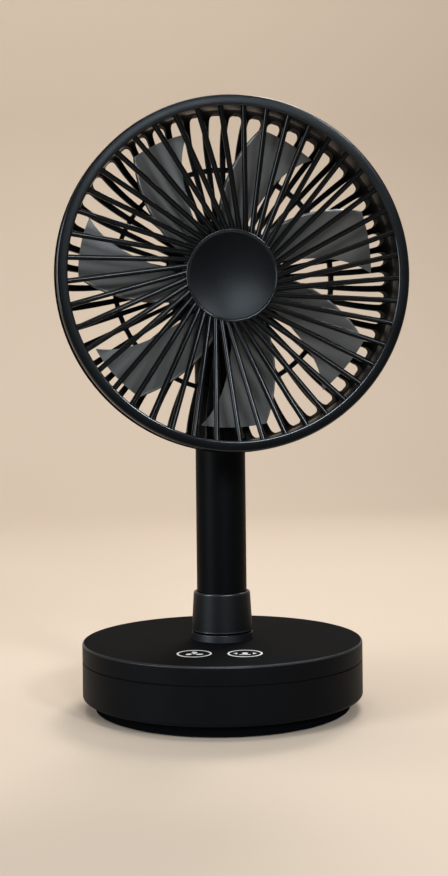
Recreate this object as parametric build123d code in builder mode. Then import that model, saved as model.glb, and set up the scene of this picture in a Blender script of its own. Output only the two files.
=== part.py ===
from build123d import *
import math
import os

# A rechargeable table fan on a round weighted base. Millimetres, +Z up, origin at the centre of the
# base's underside on the swing axis. At rest the head faces -Y and stands square on its tilt hinge.

# Fits and cuts
press_gap = 0.02
running_gap = 0.05
slip_gap = 0.05
seat_gap = 0.2
clear_gap = 0.6
cut_overrun = 2.0
match_tolerance = 0.001

# Base casing
base_diameter = 110.0
foot_inset = 5.0
foot_wall = 2.0
foot_rim_height = 1.4
plate_thickness = 3.0
shell_wall = 2.0
shell_floor = 2.0
shell_edge_radius = 1.2
cover_height = 7.1
cover_thickness = 2.4
cover_edge_radius = 0.9
lap_depth = 1.6
lap_wall = 1.4
seam_chamfer = 0.3
boss_height = 3.0
boss_edge_radius = 0.3
pad_width = 9.0
pad_edge = 2.0
pad_thickness = 1.6
pad_recess = 0.8
ballast_thickness = 5.0
control_turn = -11.0

# Case screws and their posts
case_screw_count = 4
case_screw_turn = 45.0
case_post_radius = 3.0
case_screw_radius = 1.25
case_screw_length = 11.0
case_head_radius = 2.3
case_head_height = 1.2

# Small screws
small_screw_radius = 1.0
small_head_radius = 1.9
small_head_height = 1.2

# Swivel
spindle_radius = 4.0
bush_wall = 1.5
tower_wall = 2.0
tower_room = 3.2
lower_bush_length = 5.8
hub_wall = 3.0
hub_drop = 2.6
thrust_thickness = 0.4
thrust_inset = 0.6
cable_radius = 1.5
cable_room = 0.6
cable_slot_width = 4.0
circlip_thickness = 0.6
circlip_groove = 0.5
circlip_width = 2.2
circlip_mouth = 3.0

# Swing gears
gear_module = 0.8
gear_teeth = 42
pinion_teeth = 14
pressure_angle = 25.0
addendum_share = 0.8
dedendum_share = 1.05
tooth_backlash = 0.16
gear_thickness = 3.0
gear_play = 0.4
pinion_margin = 0.5

# Swing motor
swing_motor_radius = 10.0
swing_ear_reach = 3.0
swing_ear_radius = 3.0
swing_ear_thickness = 0.8
swing_post_radius = 2.4
swing_shaft_radius = 1.5
swing_shaft_depth = 7.0
swing_screw_length = 5.0

# Battery and boards
battery_length = 44.0
battery_width = 27.0
battery_thickness = 7.8
battery_corner = 2.0
battery_offset = 5.0
battery_headroom = 1.8
board_length = 30.0
board_width = 16.0
board_thickness = 1.6
board_rim_gap = 3.5
board_ledge_height = 2.1
board_ledge_width = 5.0
board_hole_inset = 3.0
board_hole_spacing = 24.0
board_screw_bite = 1.0
chip_size = 6.0
chip_height = 1.2
touch_inset = 24.0
touch_spacing = 18.9
touch_pad_diameter = 12.0
touch_pad_thickness = 0.5
touch_board_length = 36.0
touch_board_width = 16.0
touch_board_thickness = 1.2

# Charging inlet
inlet_width = 8.94
inlet_height = 3.2
inlet_depth = 7.4
inlet_skin = 0.3
inlet_recess = 0.8
inlet_back = 1.0
inlet_tongue_width = 6.7
inlet_tongue_thickness = 0.7
inlet_tongue_length = 4.5

# Mast
pivot_height = 167.0
mast_diameter = 19.6
mast_wall = 1.4
collar_height = 15.4
collar_floor = 5.0
collar_lip = 1.28
collar_flare = 0.9
collar_edge_radius = 0.6
sleeve_wall = 2.2
sleeve_height = 7.0
yoke_drop = 16.0
yoke_spigot = 12.0

# Tilt hinge
tongue_thickness = 7.0
tongue_radius = 7.5
hinge_radius = 1.5
hinge_head_radius = 2.75
hinge_head_height = 1.8
hinge_head_sink = 0.4
hinge_socket_width = 2.0
hinge_socket_depth = 1.0
hinge_nut_width = 5.5
hinge_nut_height = 2.4
hinge_nut_sink = 0.6
friction_washer_inset = 1.0
friction_washer_thickness = 0.5
head_gap = 0.8

# Head casing
ring_diameter = 130.0
ring_flange = 1.8
ring_groove = 0.6
ring_edge_radius = 0.5
skirt_wall = 1.6
bead_width = 0.76
bead_height = 1.6
rim_setback = 8.0
rim_overhang = 0.6
rim_thickness = 2.0
rim_edge_radius = 0.4
rear_wall = 2.2
rear_step = 0.8
rear_corner_radius = 18.0
rear_spoke_count = 50
rear_spoke_rim_width = 2.3
rear_spoke_hub_width = 1.5
rear_hub_margin = 0.6
mid_ring_width = 1.7
window_inset = 0.2
window_rim_fillet = 1.8
window_fillet = 0.4

# Front spokes and hub
front_spoke_count = 45
front_spoke_turn = 4.4
front_spoke_width = 2.0
front_spoke_depth = 2.6
front_spoke_skew = 6.0
front_spoke_sink = 0.3
front_hub_radius = 17.3
front_hub_sink = 9.0
front_hub_thickness = 3.1
front_hub_edge_radius = 0.3
cap_rim = 0.9
cap_depth = 2.2
cap_sink = 0.2
cap_land = 0.3
cap_dish = 1.4

# Fan motor
housing_radius = 17.3
housing_step = 1.5
housing_back_wall = 2.0
housing_wall = 1.5
housing_flange_width = 5.1
housing_flange = 1.6
housing_screw_count = 4
housing_screw_turn = 45.0
housing_screw_bite = 1.2
shaft_radius = 1.5
bearing_wall = 1.5
bearing_width = 2.5
bearing_tube_wall = 1.6
stator_radius = 12.0
stator_height = 6.0
stator_teeth = 9
stator_yoke_wall = 2.4
tooth_width = 2.6
shoe_thickness = 1.0
shoe_slot = 1.6
coil_build = 0.9
coil_end_gap = 0.3
air_gap = 0.5
magnet_thickness = 1.5
magnet_height = 7.0
can_thickness = 0.8
can_face = 1.0
motor_board_thickness = 1.2
motor_board_ledge = 0.8
motor_board_gap = 1.0

# Impeller
impeller_depth = 12.0
impeller_wall = 2.2
impeller_face = 1.8
impeller_edge_radius = 0.8
blade_count = 7
blade_turn = 26.7
blade_tip_gap = 4.5
blade_depth = 8.4
blade_thickness = 1.4
blade_camber = 1.0
blade_front_gap = 0.4
blade_overrun = 3.0
blade_root_sink = 1.2
nut_width = 6.0
nut_height = 1.6

# Blade plan, root to tip: share of the way out, and the two edges in degrees clockwise of the tip's middle
blade_reach_shares = (0, 0.3, 0.65, 1)
blade_leading_angles = (-12.0, -3.7, 2.2, 11.9)
blade_trailing_angles = (-41.0, -33.0, -22.8, -12.2)

# Base levels and radii
base_radius = base_diameter / 2
foot_radius = base_radius - foot_inset
foot_inner_radius = foot_radius - foot_wall
pad_outer_radius = foot_radius - pad_edge
pad_inner_radius = pad_outer_radius - pad_width
case_post_circle = pad_outer_radius - pad_width / 2
plate_bottom = pad_thickness - pad_recess
plate_top = plate_bottom + plate_thickness
foot_height = plate_top + foot_rim_height
ballast_top = plate_top + ballast_thickness
gear_bottom = ballast_top + battery_thickness + battery_headroom
gear_top = gear_bottom + gear_thickness
hub_bottom = gear_top + gear_play
cover_inside = hub_bottom + hub_drop
base_height = cover_inside + cover_thickness
seam_height = base_height - cover_height
boss_top = base_height + boss_height
shell_inner_radius = base_radius - shell_wall
shell_floor_top = foot_height + shell_floor
lap_outer_radius = shell_inner_radius - press_gap
lap_inner_radius = lap_outer_radius - lap_wall
case_screw_base = pad_thickness + case_head_height

# Swivel stack
bush_bore = spindle_radius + running_gap
bush_radius = bush_bore + bush_wall
bush_seat = bush_radius + press_gap
tower_radius = bush_seat + tower_wall
tower_top = gear_bottom - circlip_thickness - tower_room
spindle_bottom = tower_top - lower_bush_length
spindle_fit = spindle_radius + press_gap
spindle_bore = cable_radius + cable_room
hub_radius = bush_seat + hub_wall
circlip_bottom = gear_bottom - circlip_thickness
circlip_seat = spindle_radius - circlip_groove
collar_bottom = boss_top + thrust_thickness + slip_gap
collar_top = collar_bottom + collar_height
socket_floor = collar_bottom + collar_floor
sleeve_top = socket_floor + sleeve_height
sleeve_radius = spindle_fit + sleeve_wall

# Gear pair and swing motor
gear_centres = gear_module * (gear_teeth + pinion_teeth) / 2
pinion_bottom = gear_bottom - pinion_margin
pinion_top = gear_top + pinion_margin
swing_motor_top = pinion_bottom - pinion_margin
swing_ear_centre = swing_motor_radius + swing_ear_reach
swing_shaft_bottom = swing_motor_top - swing_shaft_depth
swing_screw_seat = swing_motor_top - swing_ear_thickness

# Main board, touch board and charging inlet
board_bottom = shell_floor_top + board_ledge_height
board_top = board_bottom + board_thickness
board_back = shell_inner_radius - board_rim_gap
board_screw_row = board_back - board_hole_inset
touch_board_top = cover_inside - touch_pad_thickness
touch_reach = base_radius - touch_inset
inlet_middle = board_top + inlet_height / 2
inlet_mouth = base_radius - inlet_recess
inlet_rear = inlet_mouth - inlet_depth

# Mast levels
mast_radius = mast_diameter / 2
mast_bore = mast_radius - mast_wall
collar_socket = mast_radius + press_gap
collar_top_radius = collar_socket + collar_lip
collar_radius = collar_top_radius + collar_flare
tube_top = pivot_height - yoke_drop
fork_floor = pivot_height - tongue_radius - clear_gap
fork_half_width = tongue_thickness / 2 + slip_gap + friction_washer_thickness
friction_washer_radius = tongue_radius - friction_washer_inset
hinge_head_seat = mast_radius - hinge_head_sink - hinge_head_height
hinge_nut_face = mast_radius - hinge_nut_sink
hinge_nut_seat = hinge_nut_face - hinge_nut_height

# Head distances, measured forward from the tilt axis
housing_back = mast_radius + head_gap
housing_floor = housing_back + housing_back_wall
grille_back = housing_back + housing_step
grille_floor = grille_back + rear_wall
housing_front = grille_floor + housing_flange
motor_board_back = housing_floor + motor_board_ledge
impeller_back = housing_front + clear_gap
impeller_front = impeller_back + impeller_depth
can_front = impeller_front - impeller_face
can_inside = can_front - can_face
bearing_top = can_inside - clear_gap
stator_front = bearing_top - coil_build
stator_back = stator_front - stator_height
magnet_back = (stator_back + stator_front - magnet_height) / 2
blade_middle = impeller_front - blade_front_gap - blade_depth / 2
nut_front = impeller_front + nut_height
front_hub_back = nut_front + clear_gap
front_hub_face = front_hub_back + front_hub_thickness
cap_seat = front_hub_face - cap_depth
cap_front = front_hub_face - cap_sink
head_front = front_hub_face + front_hub_sink
rim_front = head_front - rim_setback
rim_back = rim_front - rim_thickness
rear_corner_level = grille_back + rear_corner_radius

# Head radii
ring_radius = ring_diameter / 2
ring_inner_radius = ring_radius - 2 * skirt_wall - 2 * press_gap - bead_width
inner_skirt_radius = ring_inner_radius + skirt_wall
outer_skirt_bore = ring_radius - skirt_wall
rim_radius = ring_radius + rim_overhang
rear_inner_radius = ring_inner_radius + rear_step
rear_outer_radius = rear_inner_radius + rear_wall
rear_flat_radius = rear_outer_radius - rear_corner_radius
housing_bore = housing_radius - housing_wall
housing_flange_radius = housing_radius + housing_flange_width
housing_screw_circle = housing_radius + housing_flange_width / 2
rear_hub_bore = housing_radius + seat_gap
rear_hub_radius = housing_flange_radius + rear_hub_margin
window_outer_radius = rear_inner_radius - window_inset
mid_ring_radius = (rear_hub_radius + window_outer_radius) / 2
bearing_bore = shaft_radius + running_gap
bearing_radius = bearing_bore + bearing_wall
bearing_seat = bearing_radius + press_gap
bearing_tube_radius = bearing_seat + bearing_tube_wall
stator_bore = bearing_tube_radius + press_gap
stator_yoke_radius = stator_bore + stator_yoke_wall
magnet_inner_radius = stator_radius + air_gap
magnet_radius = magnet_inner_radius + magnet_thickness
can_inner_radius = magnet_radius + press_gap
can_radius = can_inner_radius + can_thickness
impeller_bore = can_radius + press_gap
impeller_radius = impeller_bore + impeller_wall
blade_radius = ring_inner_radius - blade_tip_gap
shaft_fit = shaft_radius + press_gap
cap_radius = front_hub_radius - cap_rim - press_gap

# Planes and axes: the base is turned to its control line, the head's planes look out along its axis
base_plane = Plane.XY.rotated((0, 0, control_turn))
head_plane = Plane(origin=(0, 0, pivot_height), x_dir=(1, 0, 0), z_dir=(0, -1, 0))
head_section = Plane(origin=(0, 0, pivot_height), x_dir=(1, 0, 0), z_dir=(0, 0, -1))
head_axis = Axis(origin=(0, 0, pivot_height), direction=(0, -1, 0))
hinge_plane = Plane(origin=(0, 0, pivot_height), x_dir=(0, 1, 0), z_dir=(1, 0, 0))
pinion_plane = Plane(
    origin=base_plane.from_local_coords((-gear_centres, 0, pinion_bottom)),
    x_dir=base_plane.x_dir,
    z_dir=base_plane.z_dir,
).rotated((0, 0, 180 / pinion_teeth))

os.makedirs("parts", exist_ok=True)


def annulus(outer_radius, inner_radius):
    """Draw a flat ring in the open sketch."""
    Circle(outer_radius)
    Circle(inner_radius, mode=Mode.SUBTRACT)


def outline(*points):
    """Draw a straight-sided closed outline in the open sketch."""
    Polygon(*points, align=None)


def round_edges(builder, radius, level, axis):
    """Find the circular edges of this radius at this distance along an axis."""
    middle = axis.position + axis.direction * level

    def matches(edge):
        if edge.geom_type != GeomType.CIRCLE or abs(edge.radius - radius) > match_tolerance:
            return False
        return (edge.arc_center - middle).length < match_tolerance

    return builder.edges().filter_by(matches)


def gear_outline(teeth):
    """Draw an involute gear in the open sketch, with a tooth centred on the X axis."""
    pitch_radius = gear_module * teeth / 2
    tip_radius = pitch_radius + gear_module * addendum_share
    root_radius = pitch_radius - gear_module * dedendum_share
    base_circle = pitch_radius * math.cos(math.radians(pressure_angle))
    flank_start = max(base_circle, root_radius)
    half_tooth = math.pi / (2 * teeth) - tooth_backlash / (2 * pitch_radius)

    def involute(radius):
        angle = math.acos(min(base_circle / radius, 1))
        return math.tan(angle) - angle

    def flank_point(radius, side):
        angle = half_tooth + involute(pitch_radius) - involute(radius)
        return (radius * math.cos(angle), side * radius * math.sin(angle))

    flank_shares = (0, 1 / 3, 2 / 3, 1)
    radii = [flank_start + share * (tip_radius - flank_start) for share in flank_shares]
    left = [flank_point(radius, 1) for radius in radii]
    right = [flank_point(radius, -1) for radius in radii]
    with BuildLine() as tooth:
        Spline(*left)
        ThreePointArc(left[-1], (tip_radius, 0), right[-1])
        Spline(*right)
        Polyline(right[0], (0, 0), left[0])
    with BuildSketch(mode=Mode.PRIVATE) as tooth_face:
        make_face(tooth.edges())
    Circle(root_radius)
    with PolarLocations(0, teeth):
        add(tooth_face.sketch)


def inlet_face(distance):
    """Give the plane square to the charging inlet, this far behind the swing axis."""
    middle = base_plane.from_local_coords((0, distance, inlet_middle))
    return Plane(origin=middle, x_dir=-base_plane.x_dir, z_dir=base_plane.y_dir)


def radial_plane(angle, radius, level):
    """Give a plane facing outward from the head's axis: X runs clockwise, Y runs backward."""
    spoke = Vector(math.sin(math.radians(angle)), math.cos(math.radians(angle)))
    across = Vector(math.cos(math.radians(angle)), -math.sin(math.radians(angle)))
    middle = head_plane.from_local_coords((radius * spoke.X, radius * spoke.Y, level))
    outward = head_plane.x_dir * spoke.X + head_plane.y_dir * spoke.Y
    clockwise = head_plane.x_dir * across.X + head_plane.y_dir * across.Y
    return Plane(origin=middle, x_dir=clockwise, z_dir=outward)


# Rubber ring that the base stands on
with BuildPart() as anti_slip_pad:
    with BuildSketch():
        annulus(pad_outer_radius, pad_inner_radius)
    extrude(amount=pad_thickness)
anti_slip_pad.part.label = "anti_slip_pad"
export_step(anti_slip_pad.part, "parts/anti_slip_pad.step")

# Bottom plate with the tower that carries the lower swivel bush
with BuildPart() as bottom_plate:
    with BuildSketch(base_plane.offset(plate_bottom)):
        Circle(foot_radius)
    extrude(amount=plate_thickness)
    with BuildSketch(base_plane.offset(plate_top)):
        annulus(foot_radius, foot_inner_radius)
    extrude(amount=foot_rim_height)
    with BuildSketch(base_plane.offset(plate_top)):
        annulus(tower_radius, bush_bore)
    extrude(amount=tower_top - plate_top)
    with BuildSketch(base_plane.offset(spindle_bottom)):
        Circle(bush_seat)
    extrude(amount=lower_bush_length, mode=Mode.SUBTRACT)
    with BuildSketch(base_plane.offset(plate_top)):
        with Locations((0, tower_radius / 2)):
            Rectangle(cable_slot_width, tower_radius)
    extrude(amount=(spindle_bottom - plate_top) / 2, mode=Mode.SUBTRACT)
    with BuildSketch(base_plane.offset(plate_bottom)):
        annulus(pad_outer_radius + press_gap, pad_inner_radius - press_gap)
    extrude(amount=pad_recess, mode=Mode.SUBTRACT)
    with BuildSketch(base_plane.offset(pad_thickness)):
        with PolarLocations(case_post_circle, case_screw_count, case_screw_turn):
            Circle(case_head_radius + press_gap)
    extrude(amount=case_head_height, mode=Mode.SUBTRACT)
    with BuildSketch(base_plane.offset(pad_thickness)):
        with PolarLocations(case_post_circle, case_screw_count, case_screw_turn):
            Circle(case_screw_radius + press_gap)
    extrude(amount=plate_thickness, mode=Mode.SUBTRACT)
bottom_plate.part.label = "bottom_plate"
export_step(bottom_plate.part, "parts/bottom_plate.step")

# Screws that close the base, with their heads hidden under the rubber ring
with BuildPart() as case_screws:
    with BuildSketch(base_plane.offset(pad_thickness)):
        with PolarLocations(case_post_circle, case_screw_count, case_screw_turn):
            Circle(case_head_radius)
    extrude(amount=case_head_height)
    with BuildSketch(base_plane.offset(case_screw_base)):
        with PolarLocations(case_post_circle, case_screw_count, case_screw_turn):
            Circle(case_screw_radius)
    extrude(amount=case_screw_length)
case_screws.part.label = "case_screws"
export_step(case_screws.part, "parts/case_screws.step")

# Steel disc that keeps the fan from tipping, with a well for the swing motor
with BuildPart() as ballast_plate:
    with BuildSketch(base_plane.offset(plate_top)):
        annulus(case_post_circle - case_post_radius - seat_gap, tower_radius + seat_gap)
        with Locations((-gear_centres, 0)):
            Circle(swing_motor_radius + seat_gap, mode=Mode.SUBTRACT)
    extrude(amount=ballast_thickness)
ballast_plate.part.label = "ballast_plate"
export_step(ballast_plate.part, "parts/ballast_plate.step")

# Lower shell: the wall and floor rim of the base, with the ledges of the main board
with BuildPart() as lower_shell:
    with BuildSketch(Plane.XZ):
        outline(
            (foot_inner_radius, foot_height),
            (base_radius, foot_height),
            (base_radius, seam_height),
            (shell_inner_radius, seam_height),
            (shell_inner_radius, shell_floor_top),
            (foot_inner_radius, shell_floor_top),
        )
    revolve(axis=Axis.Z)
    fillet(round_edges(lower_shell, base_radius, foot_height, Axis.Z), shell_edge_radius)
    chamfer(round_edges(lower_shell, base_radius, seam_height, Axis.Z), seam_chamfer)
    ledge_depth = board_ledge_width + board_rim_gap + shell_wall
    with BuildSketch(base_plane.offset(shell_floor_top)):
        with Locations((0, board_back - board_ledge_width + ledge_depth / 2)):
            with GridLocations(board_hole_spacing, 0, 2, 1):
                Rectangle(board_ledge_width, ledge_depth)
        Circle(shell_inner_radius + shell_wall / 2, mode=Mode.INTERSECT)
    extrude(amount=board_ledge_height)
    with BuildSketch(base_plane.offset(board_bottom)):
        with Locations((0, board_screw_row)):
            with GridLocations(board_hole_spacing, 0, 2, 1):
                Circle(small_screw_radius + press_gap)
    extrude(amount=-board_screw_bite, mode=Mode.SUBTRACT)
    with BuildSketch(inlet_face(inlet_rear)):
        SlotOverall(inlet_width + 2 * seat_gap, inlet_height + 2 * seat_gap)
    extrude(amount=inlet_depth + cut_overrun, mode=Mode.SUBTRACT)
lower_shell.part.label = "lower_shell"
export_step(lower_shell.part, "parts/lower_shell.step")

# Top cover with the fixed boss under the mast, the screw posts and the swing motor's posts
with BuildPart() as top_cover:
    with BuildSketch(Plane.XZ):
        outline(
            (bush_seat, hub_bottom),
            (hub_radius, hub_bottom),
            (hub_radius, cover_inside),
            (lap_inner_radius, cover_inside),
            (lap_inner_radius, seam_height - lap_depth),
            (lap_outer_radius, seam_height - lap_depth),
            (lap_outer_radius, seam_height),
            (base_radius, seam_height),
            (base_radius, base_height),
            (collar_radius, base_height),
            (collar_radius, boss_top),
            (bush_seat, boss_top),
        )
    revolve(axis=Axis.Z)
    fillet(round_edges(top_cover, base_radius, base_height, Axis.Z), cover_edge_radius)
    fillet(round_edges(top_cover, collar_radius, boss_top, Axis.Z), boss_edge_radius)
    chamfer(round_edges(top_cover, base_radius, seam_height, Axis.Z), seam_chamfer)
    with BuildSketch(base_plane.offset(plate_top)):
        with PolarLocations(case_post_circle, case_screw_count, case_screw_turn):
            Circle(case_post_radius)
    extrude(amount=cover_inside - plate_top)
    with BuildSketch(base_plane.offset(plate_top)):
        with PolarLocations(case_post_circle, case_screw_count, case_screw_turn):
            Circle(case_screw_radius + press_gap)
    extrude(amount=case_screw_length, mode=Mode.SUBTRACT)
    with BuildSketch(base_plane.offset(swing_motor_top)):
        with Locations((-gear_centres, 0)):
            with GridLocations(0, 2 * swing_ear_centre, 1, 2):
                Circle(swing_post_radius)
    extrude(amount=cover_inside - swing_motor_top)
    with BuildSketch(base_plane.offset(swing_motor_top)):
        with Locations((-gear_centres, 0)):
            with GridLocations(0, 2 * swing_ear_centre, 1, 2):
                Circle(small_screw_radius + press_gap)
    extrude(amount=swing_screw_length, mode=Mode.SUBTRACT)
top_cover.part.label = "top_cover"
export_step(top_cover.part, "parts/top_cover.step")

# Flat battery pack beside the tower
with BuildPart() as battery_pack:
    with BuildSketch(base_plane.offset(ballast_top)):
        with Locations((tower_radius + battery_offset + battery_width / 2, 0)):
            RectangleRounded(battery_width, battery_length, battery_corner)
    extrude(amount=battery_thickness)
battery_pack.part.label = "battery_pack"
export_step(battery_pack.part, "parts/battery_pack.step")

# Main circuit board at the back of the base, with its largest chip
with BuildPart() as main_circuit_board:
    with BuildSketch(base_plane.offset(board_bottom)):
        with Locations((0, board_back - board_width / 2)):
            Rectangle(board_length, board_width)
        with Locations((0, board_screw_row)):
            with GridLocations(board_hole_spacing, 0, 2, 1):
                Circle(small_screw_radius + press_gap, mode=Mode.SUBTRACT)
    extrude(amount=board_thickness)
    with BuildSketch(base_plane.offset(board_top)):
        with Locations((0, board_back - board_width + chip_size)):
            Rectangle(chip_size, chip_size)
    extrude(amount=chip_height)
main_circuit_board.part.label = "main_circuit_board"
export_step(main_circuit_board.part, "parts/main_circuit_board.step")

# Screws that hold the main board on its ledges
with BuildPart() as board_screws:
    with BuildSketch(base_plane.offset(board_top)):
        with Locations((0, board_screw_row)):
            with GridLocations(board_hole_spacing, 0, 2, 1):
                Circle(small_head_radius)
    extrude(amount=small_head_height)
    with BuildSketch(base_plane.offset(board_top)):
        with Locations((0, board_screw_row)):
            with GridLocations(board_hole_spacing, 0, 2, 1):
                Circle(small_screw_radius)
    extrude(amount=-(board_thickness + board_screw_bite))
board_screws.part.label = "board_screws"
export_step(board_screws.part, "parts/board_screws.step")

# Charging inlet: a metal shell around a contact tongue
with BuildPart() as charging_inlet:
    with BuildSketch(inlet_face(inlet_rear)):
        SlotOverall(inlet_width, inlet_height)
    extrude(amount=inlet_depth)
    with BuildSketch(inlet_face(inlet_rear + inlet_back)):
        SlotOverall(inlet_width - 2 * inlet_skin, inlet_height - 2 * inlet_skin)
    extrude(amount=inlet_depth, mode=Mode.SUBTRACT)
    with BuildSketch(inlet_face(inlet_rear)):
        Rectangle(inlet_tongue_width, inlet_tongue_thickness)
    extrude(amount=inlet_back + inlet_tongue_length)
charging_inlet.part.label = "charging_inlet"
export_step(charging_inlet.part, "parts/charging_inlet.step")

# Two touch electrodes under the cover and the board that carries them
touch_centre = (0, -touch_reach)
with BuildPart() as touch_electrodes:
    with BuildSketch(base_plane.offset(touch_board_top)):
        with Locations(touch_centre):
            with GridLocations(touch_spacing, 0, 2, 1):
                Circle(touch_pad_diameter / 2)
    extrude(amount=touch_pad_thickness)
touch_electrodes.part.label = "touch_electrodes"
export_step(touch_electrodes.part, "parts/touch_electrodes.step")

with BuildPart() as touch_board:
    with BuildSketch(base_plane.offset(touch_board_top)):
        with Locations(touch_centre):
            Rectangle(touch_board_length, touch_board_width)
    extrude(amount=-touch_board_thickness)
touch_board.part.label = "touch_board"
export_step(touch_board.part, "parts/touch_board.step")

# Geared motor that swings the mast, hung from the cover by its two ears
with BuildPart() as swing_motor:
    with BuildSketch(base_plane.offset(plate_top)):
        with Locations((-gear_centres, 0)):
            Circle(swing_motor_radius)
    extrude(amount=swing_motor_top - plate_top)
    with BuildSketch(base_plane.offset(swing_screw_seat)):
        with Locations((-gear_centres, 0)):
            SlotOverall(2 * (swing_ear_centre + swing_ear_radius), 2 * swing_ear_radius, rotation=90)
            with GridLocations(0, 2 * swing_ear_centre, 1, 2):
                Circle(small_screw_radius + press_gap, mode=Mode.SUBTRACT)
    extrude(amount=swing_ear_thickness)
    with BuildSketch(base_plane.offset(swing_motor_top)):
        with Locations((-gear_centres, 0)):
            Circle(swing_shaft_radius + running_gap)
    extrude(amount=-(swing_shaft_depth + pinion_margin), mode=Mode.SUBTRACT)
swing_motor.part.label = "swing_motor"
export_step(swing_motor.part, "parts/swing_motor.step")

with BuildPart() as swing_motor_screws:
    with BuildSketch(base_plane.offset(swing_screw_seat)):
        with Locations((-gear_centres, 0)):
            with GridLocations(0, 2 * swing_ear_centre, 1, 2):
                Circle(small_head_radius)
    extrude(amount=-small_head_height)
    with BuildSketch(base_plane.offset(swing_screw_seat)):
        with Locations((-gear_centres, 0)):
            with GridLocations(0, 2 * swing_ear_centre, 1, 2):
                Circle(small_screw_radius)
    extrude(amount=swing_screw_length)
swing_motor_screws.part.label = "swing_motor_screws"
export_step(swing_motor_screws.part, "parts/swing_motor_screws.step")

# Plain bushes that the spindle turns in, and the washer that carries the mast's weight
with BuildPart() as upper_swivel_bush:
    with BuildSketch(Plane.XY.offset(hub_bottom)):
        annulus(bush_radius, bush_bore)
    extrude(amount=boss_top - hub_bottom)
upper_swivel_bush.part.label = "upper_swivel_bush"
export_step(upper_swivel_bush.part, "parts/upper_swivel_bush.step")

with BuildPart() as lower_swivel_bush:
    with BuildSketch(Plane.XY.offset(spindle_bottom)):
        annulus(bush_radius, bush_bore)
    extrude(amount=lower_bush_length)
lower_swivel_bush.part.label = "lower_swivel_bush"
export_step(lower_swivel_bush.part, "parts/lower_swivel_bush.step")

with BuildPart() as thrust_washer:
    with BuildSketch(Plane.XY.offset(boss_top)):
        annulus(collar_radius - thrust_inset, bush_bore)
    extrude(amount=thrust_thickness)
thrust_washer.part.label = "thrust_washer"
export_step(thrust_washer.part, "parts/thrust_washer.step")

# Pinion on the swing motor's shaft, with a tooth space facing the gear
with BuildPart() as swing_pinion:
    with BuildSketch(pinion_plane):
        gear_outline(pinion_teeth)
    extrude(amount=pinion_top - pinion_bottom)
    with BuildSketch(pinion_plane):
        Circle(swing_shaft_radius)
    extrude(amount=swing_shaft_bottom - pinion_bottom)
swing_pinion.part.label = "swing_pinion"
export_step(swing_pinion.part, "parts/swing_pinion.step")

# Gear on the spindle
with BuildPart() as swing_gear:
    with BuildSketch(base_plane.offset(gear_bottom)):
        gear_outline(gear_teeth)
        Circle(spindle_fit, mode=Mode.SUBTRACT)
    extrude(amount=gear_thickness)
swing_gear.part.label = "swing_gear"
export_step(swing_gear.part, "parts/swing_gear.step")

# Hollow spindle with the groove of its circlip
with BuildPart() as spindle:
    with BuildSketch(Plane.XY.offset(spindle_bottom)):
        annulus(spindle_radius, spindle_bore)
    extrude(amount=sleeve_top - spindle_bottom)
    with BuildSketch(Plane.XY.offset(circlip_bottom)):
        annulus(spindle_radius + cut_overrun, circlip_seat)
    extrude(amount=circlip_thickness, mode=Mode.SUBTRACT)
spindle.part.label = "spindle"
export_step(spindle.part, "parts/spindle.step")

with BuildPart() as spindle_circlip:
    with BuildSketch(base_plane.offset(circlip_bottom)):
        annulus(circlip_seat + circlip_width, circlip_seat + press_gap)
        with Locations((0, spindle_radius)):
            Rectangle(circlip_mouth, 2 * spindle_radius, mode=Mode.SUBTRACT)
    extrude(amount=circlip_thickness)
spindle_circlip.part.label = "spindle_circlip"
export_step(spindle_circlip.part, "parts/spindle_circlip.step")

# Turning collar at the foot of the mast
with BuildPart() as swivel_collar:
    with BuildSketch(Plane.XZ):
        outline(
            (spindle_fit, collar_bottom),
            (collar_radius, collar_bottom),
            (collar_top_radius, collar_top),
            (collar_socket, collar_top),
            (collar_socket, socket_floor),
            (sleeve_radius, socket_floor),
            (sleeve_radius, sleeve_top),
            (spindle_fit, sleeve_top),
        )
    revolve(axis=Axis.Z)
    fillet(round_edges(swivel_collar, collar_top_radius, collar_top, Axis.Z), collar_edge_radius)
    fillet(round_edges(swivel_collar, collar_radius, collar_bottom, Axis.Z), boss_edge_radius)
swivel_collar.part.label = "swivel_collar"
export_step(swivel_collar.part, "parts/swivel_collar.step")

# Mast tube
with BuildPart() as mast_tube:
    with BuildSketch(Plane.XY.offset(socket_floor)):
        annulus(mast_radius, mast_bore)
    extrude(amount=tube_top - socket_floor)
mast_tube.part.label = "mast_tube"
export_step(mast_tube.part, "parts/mast_tube.step")

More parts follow.
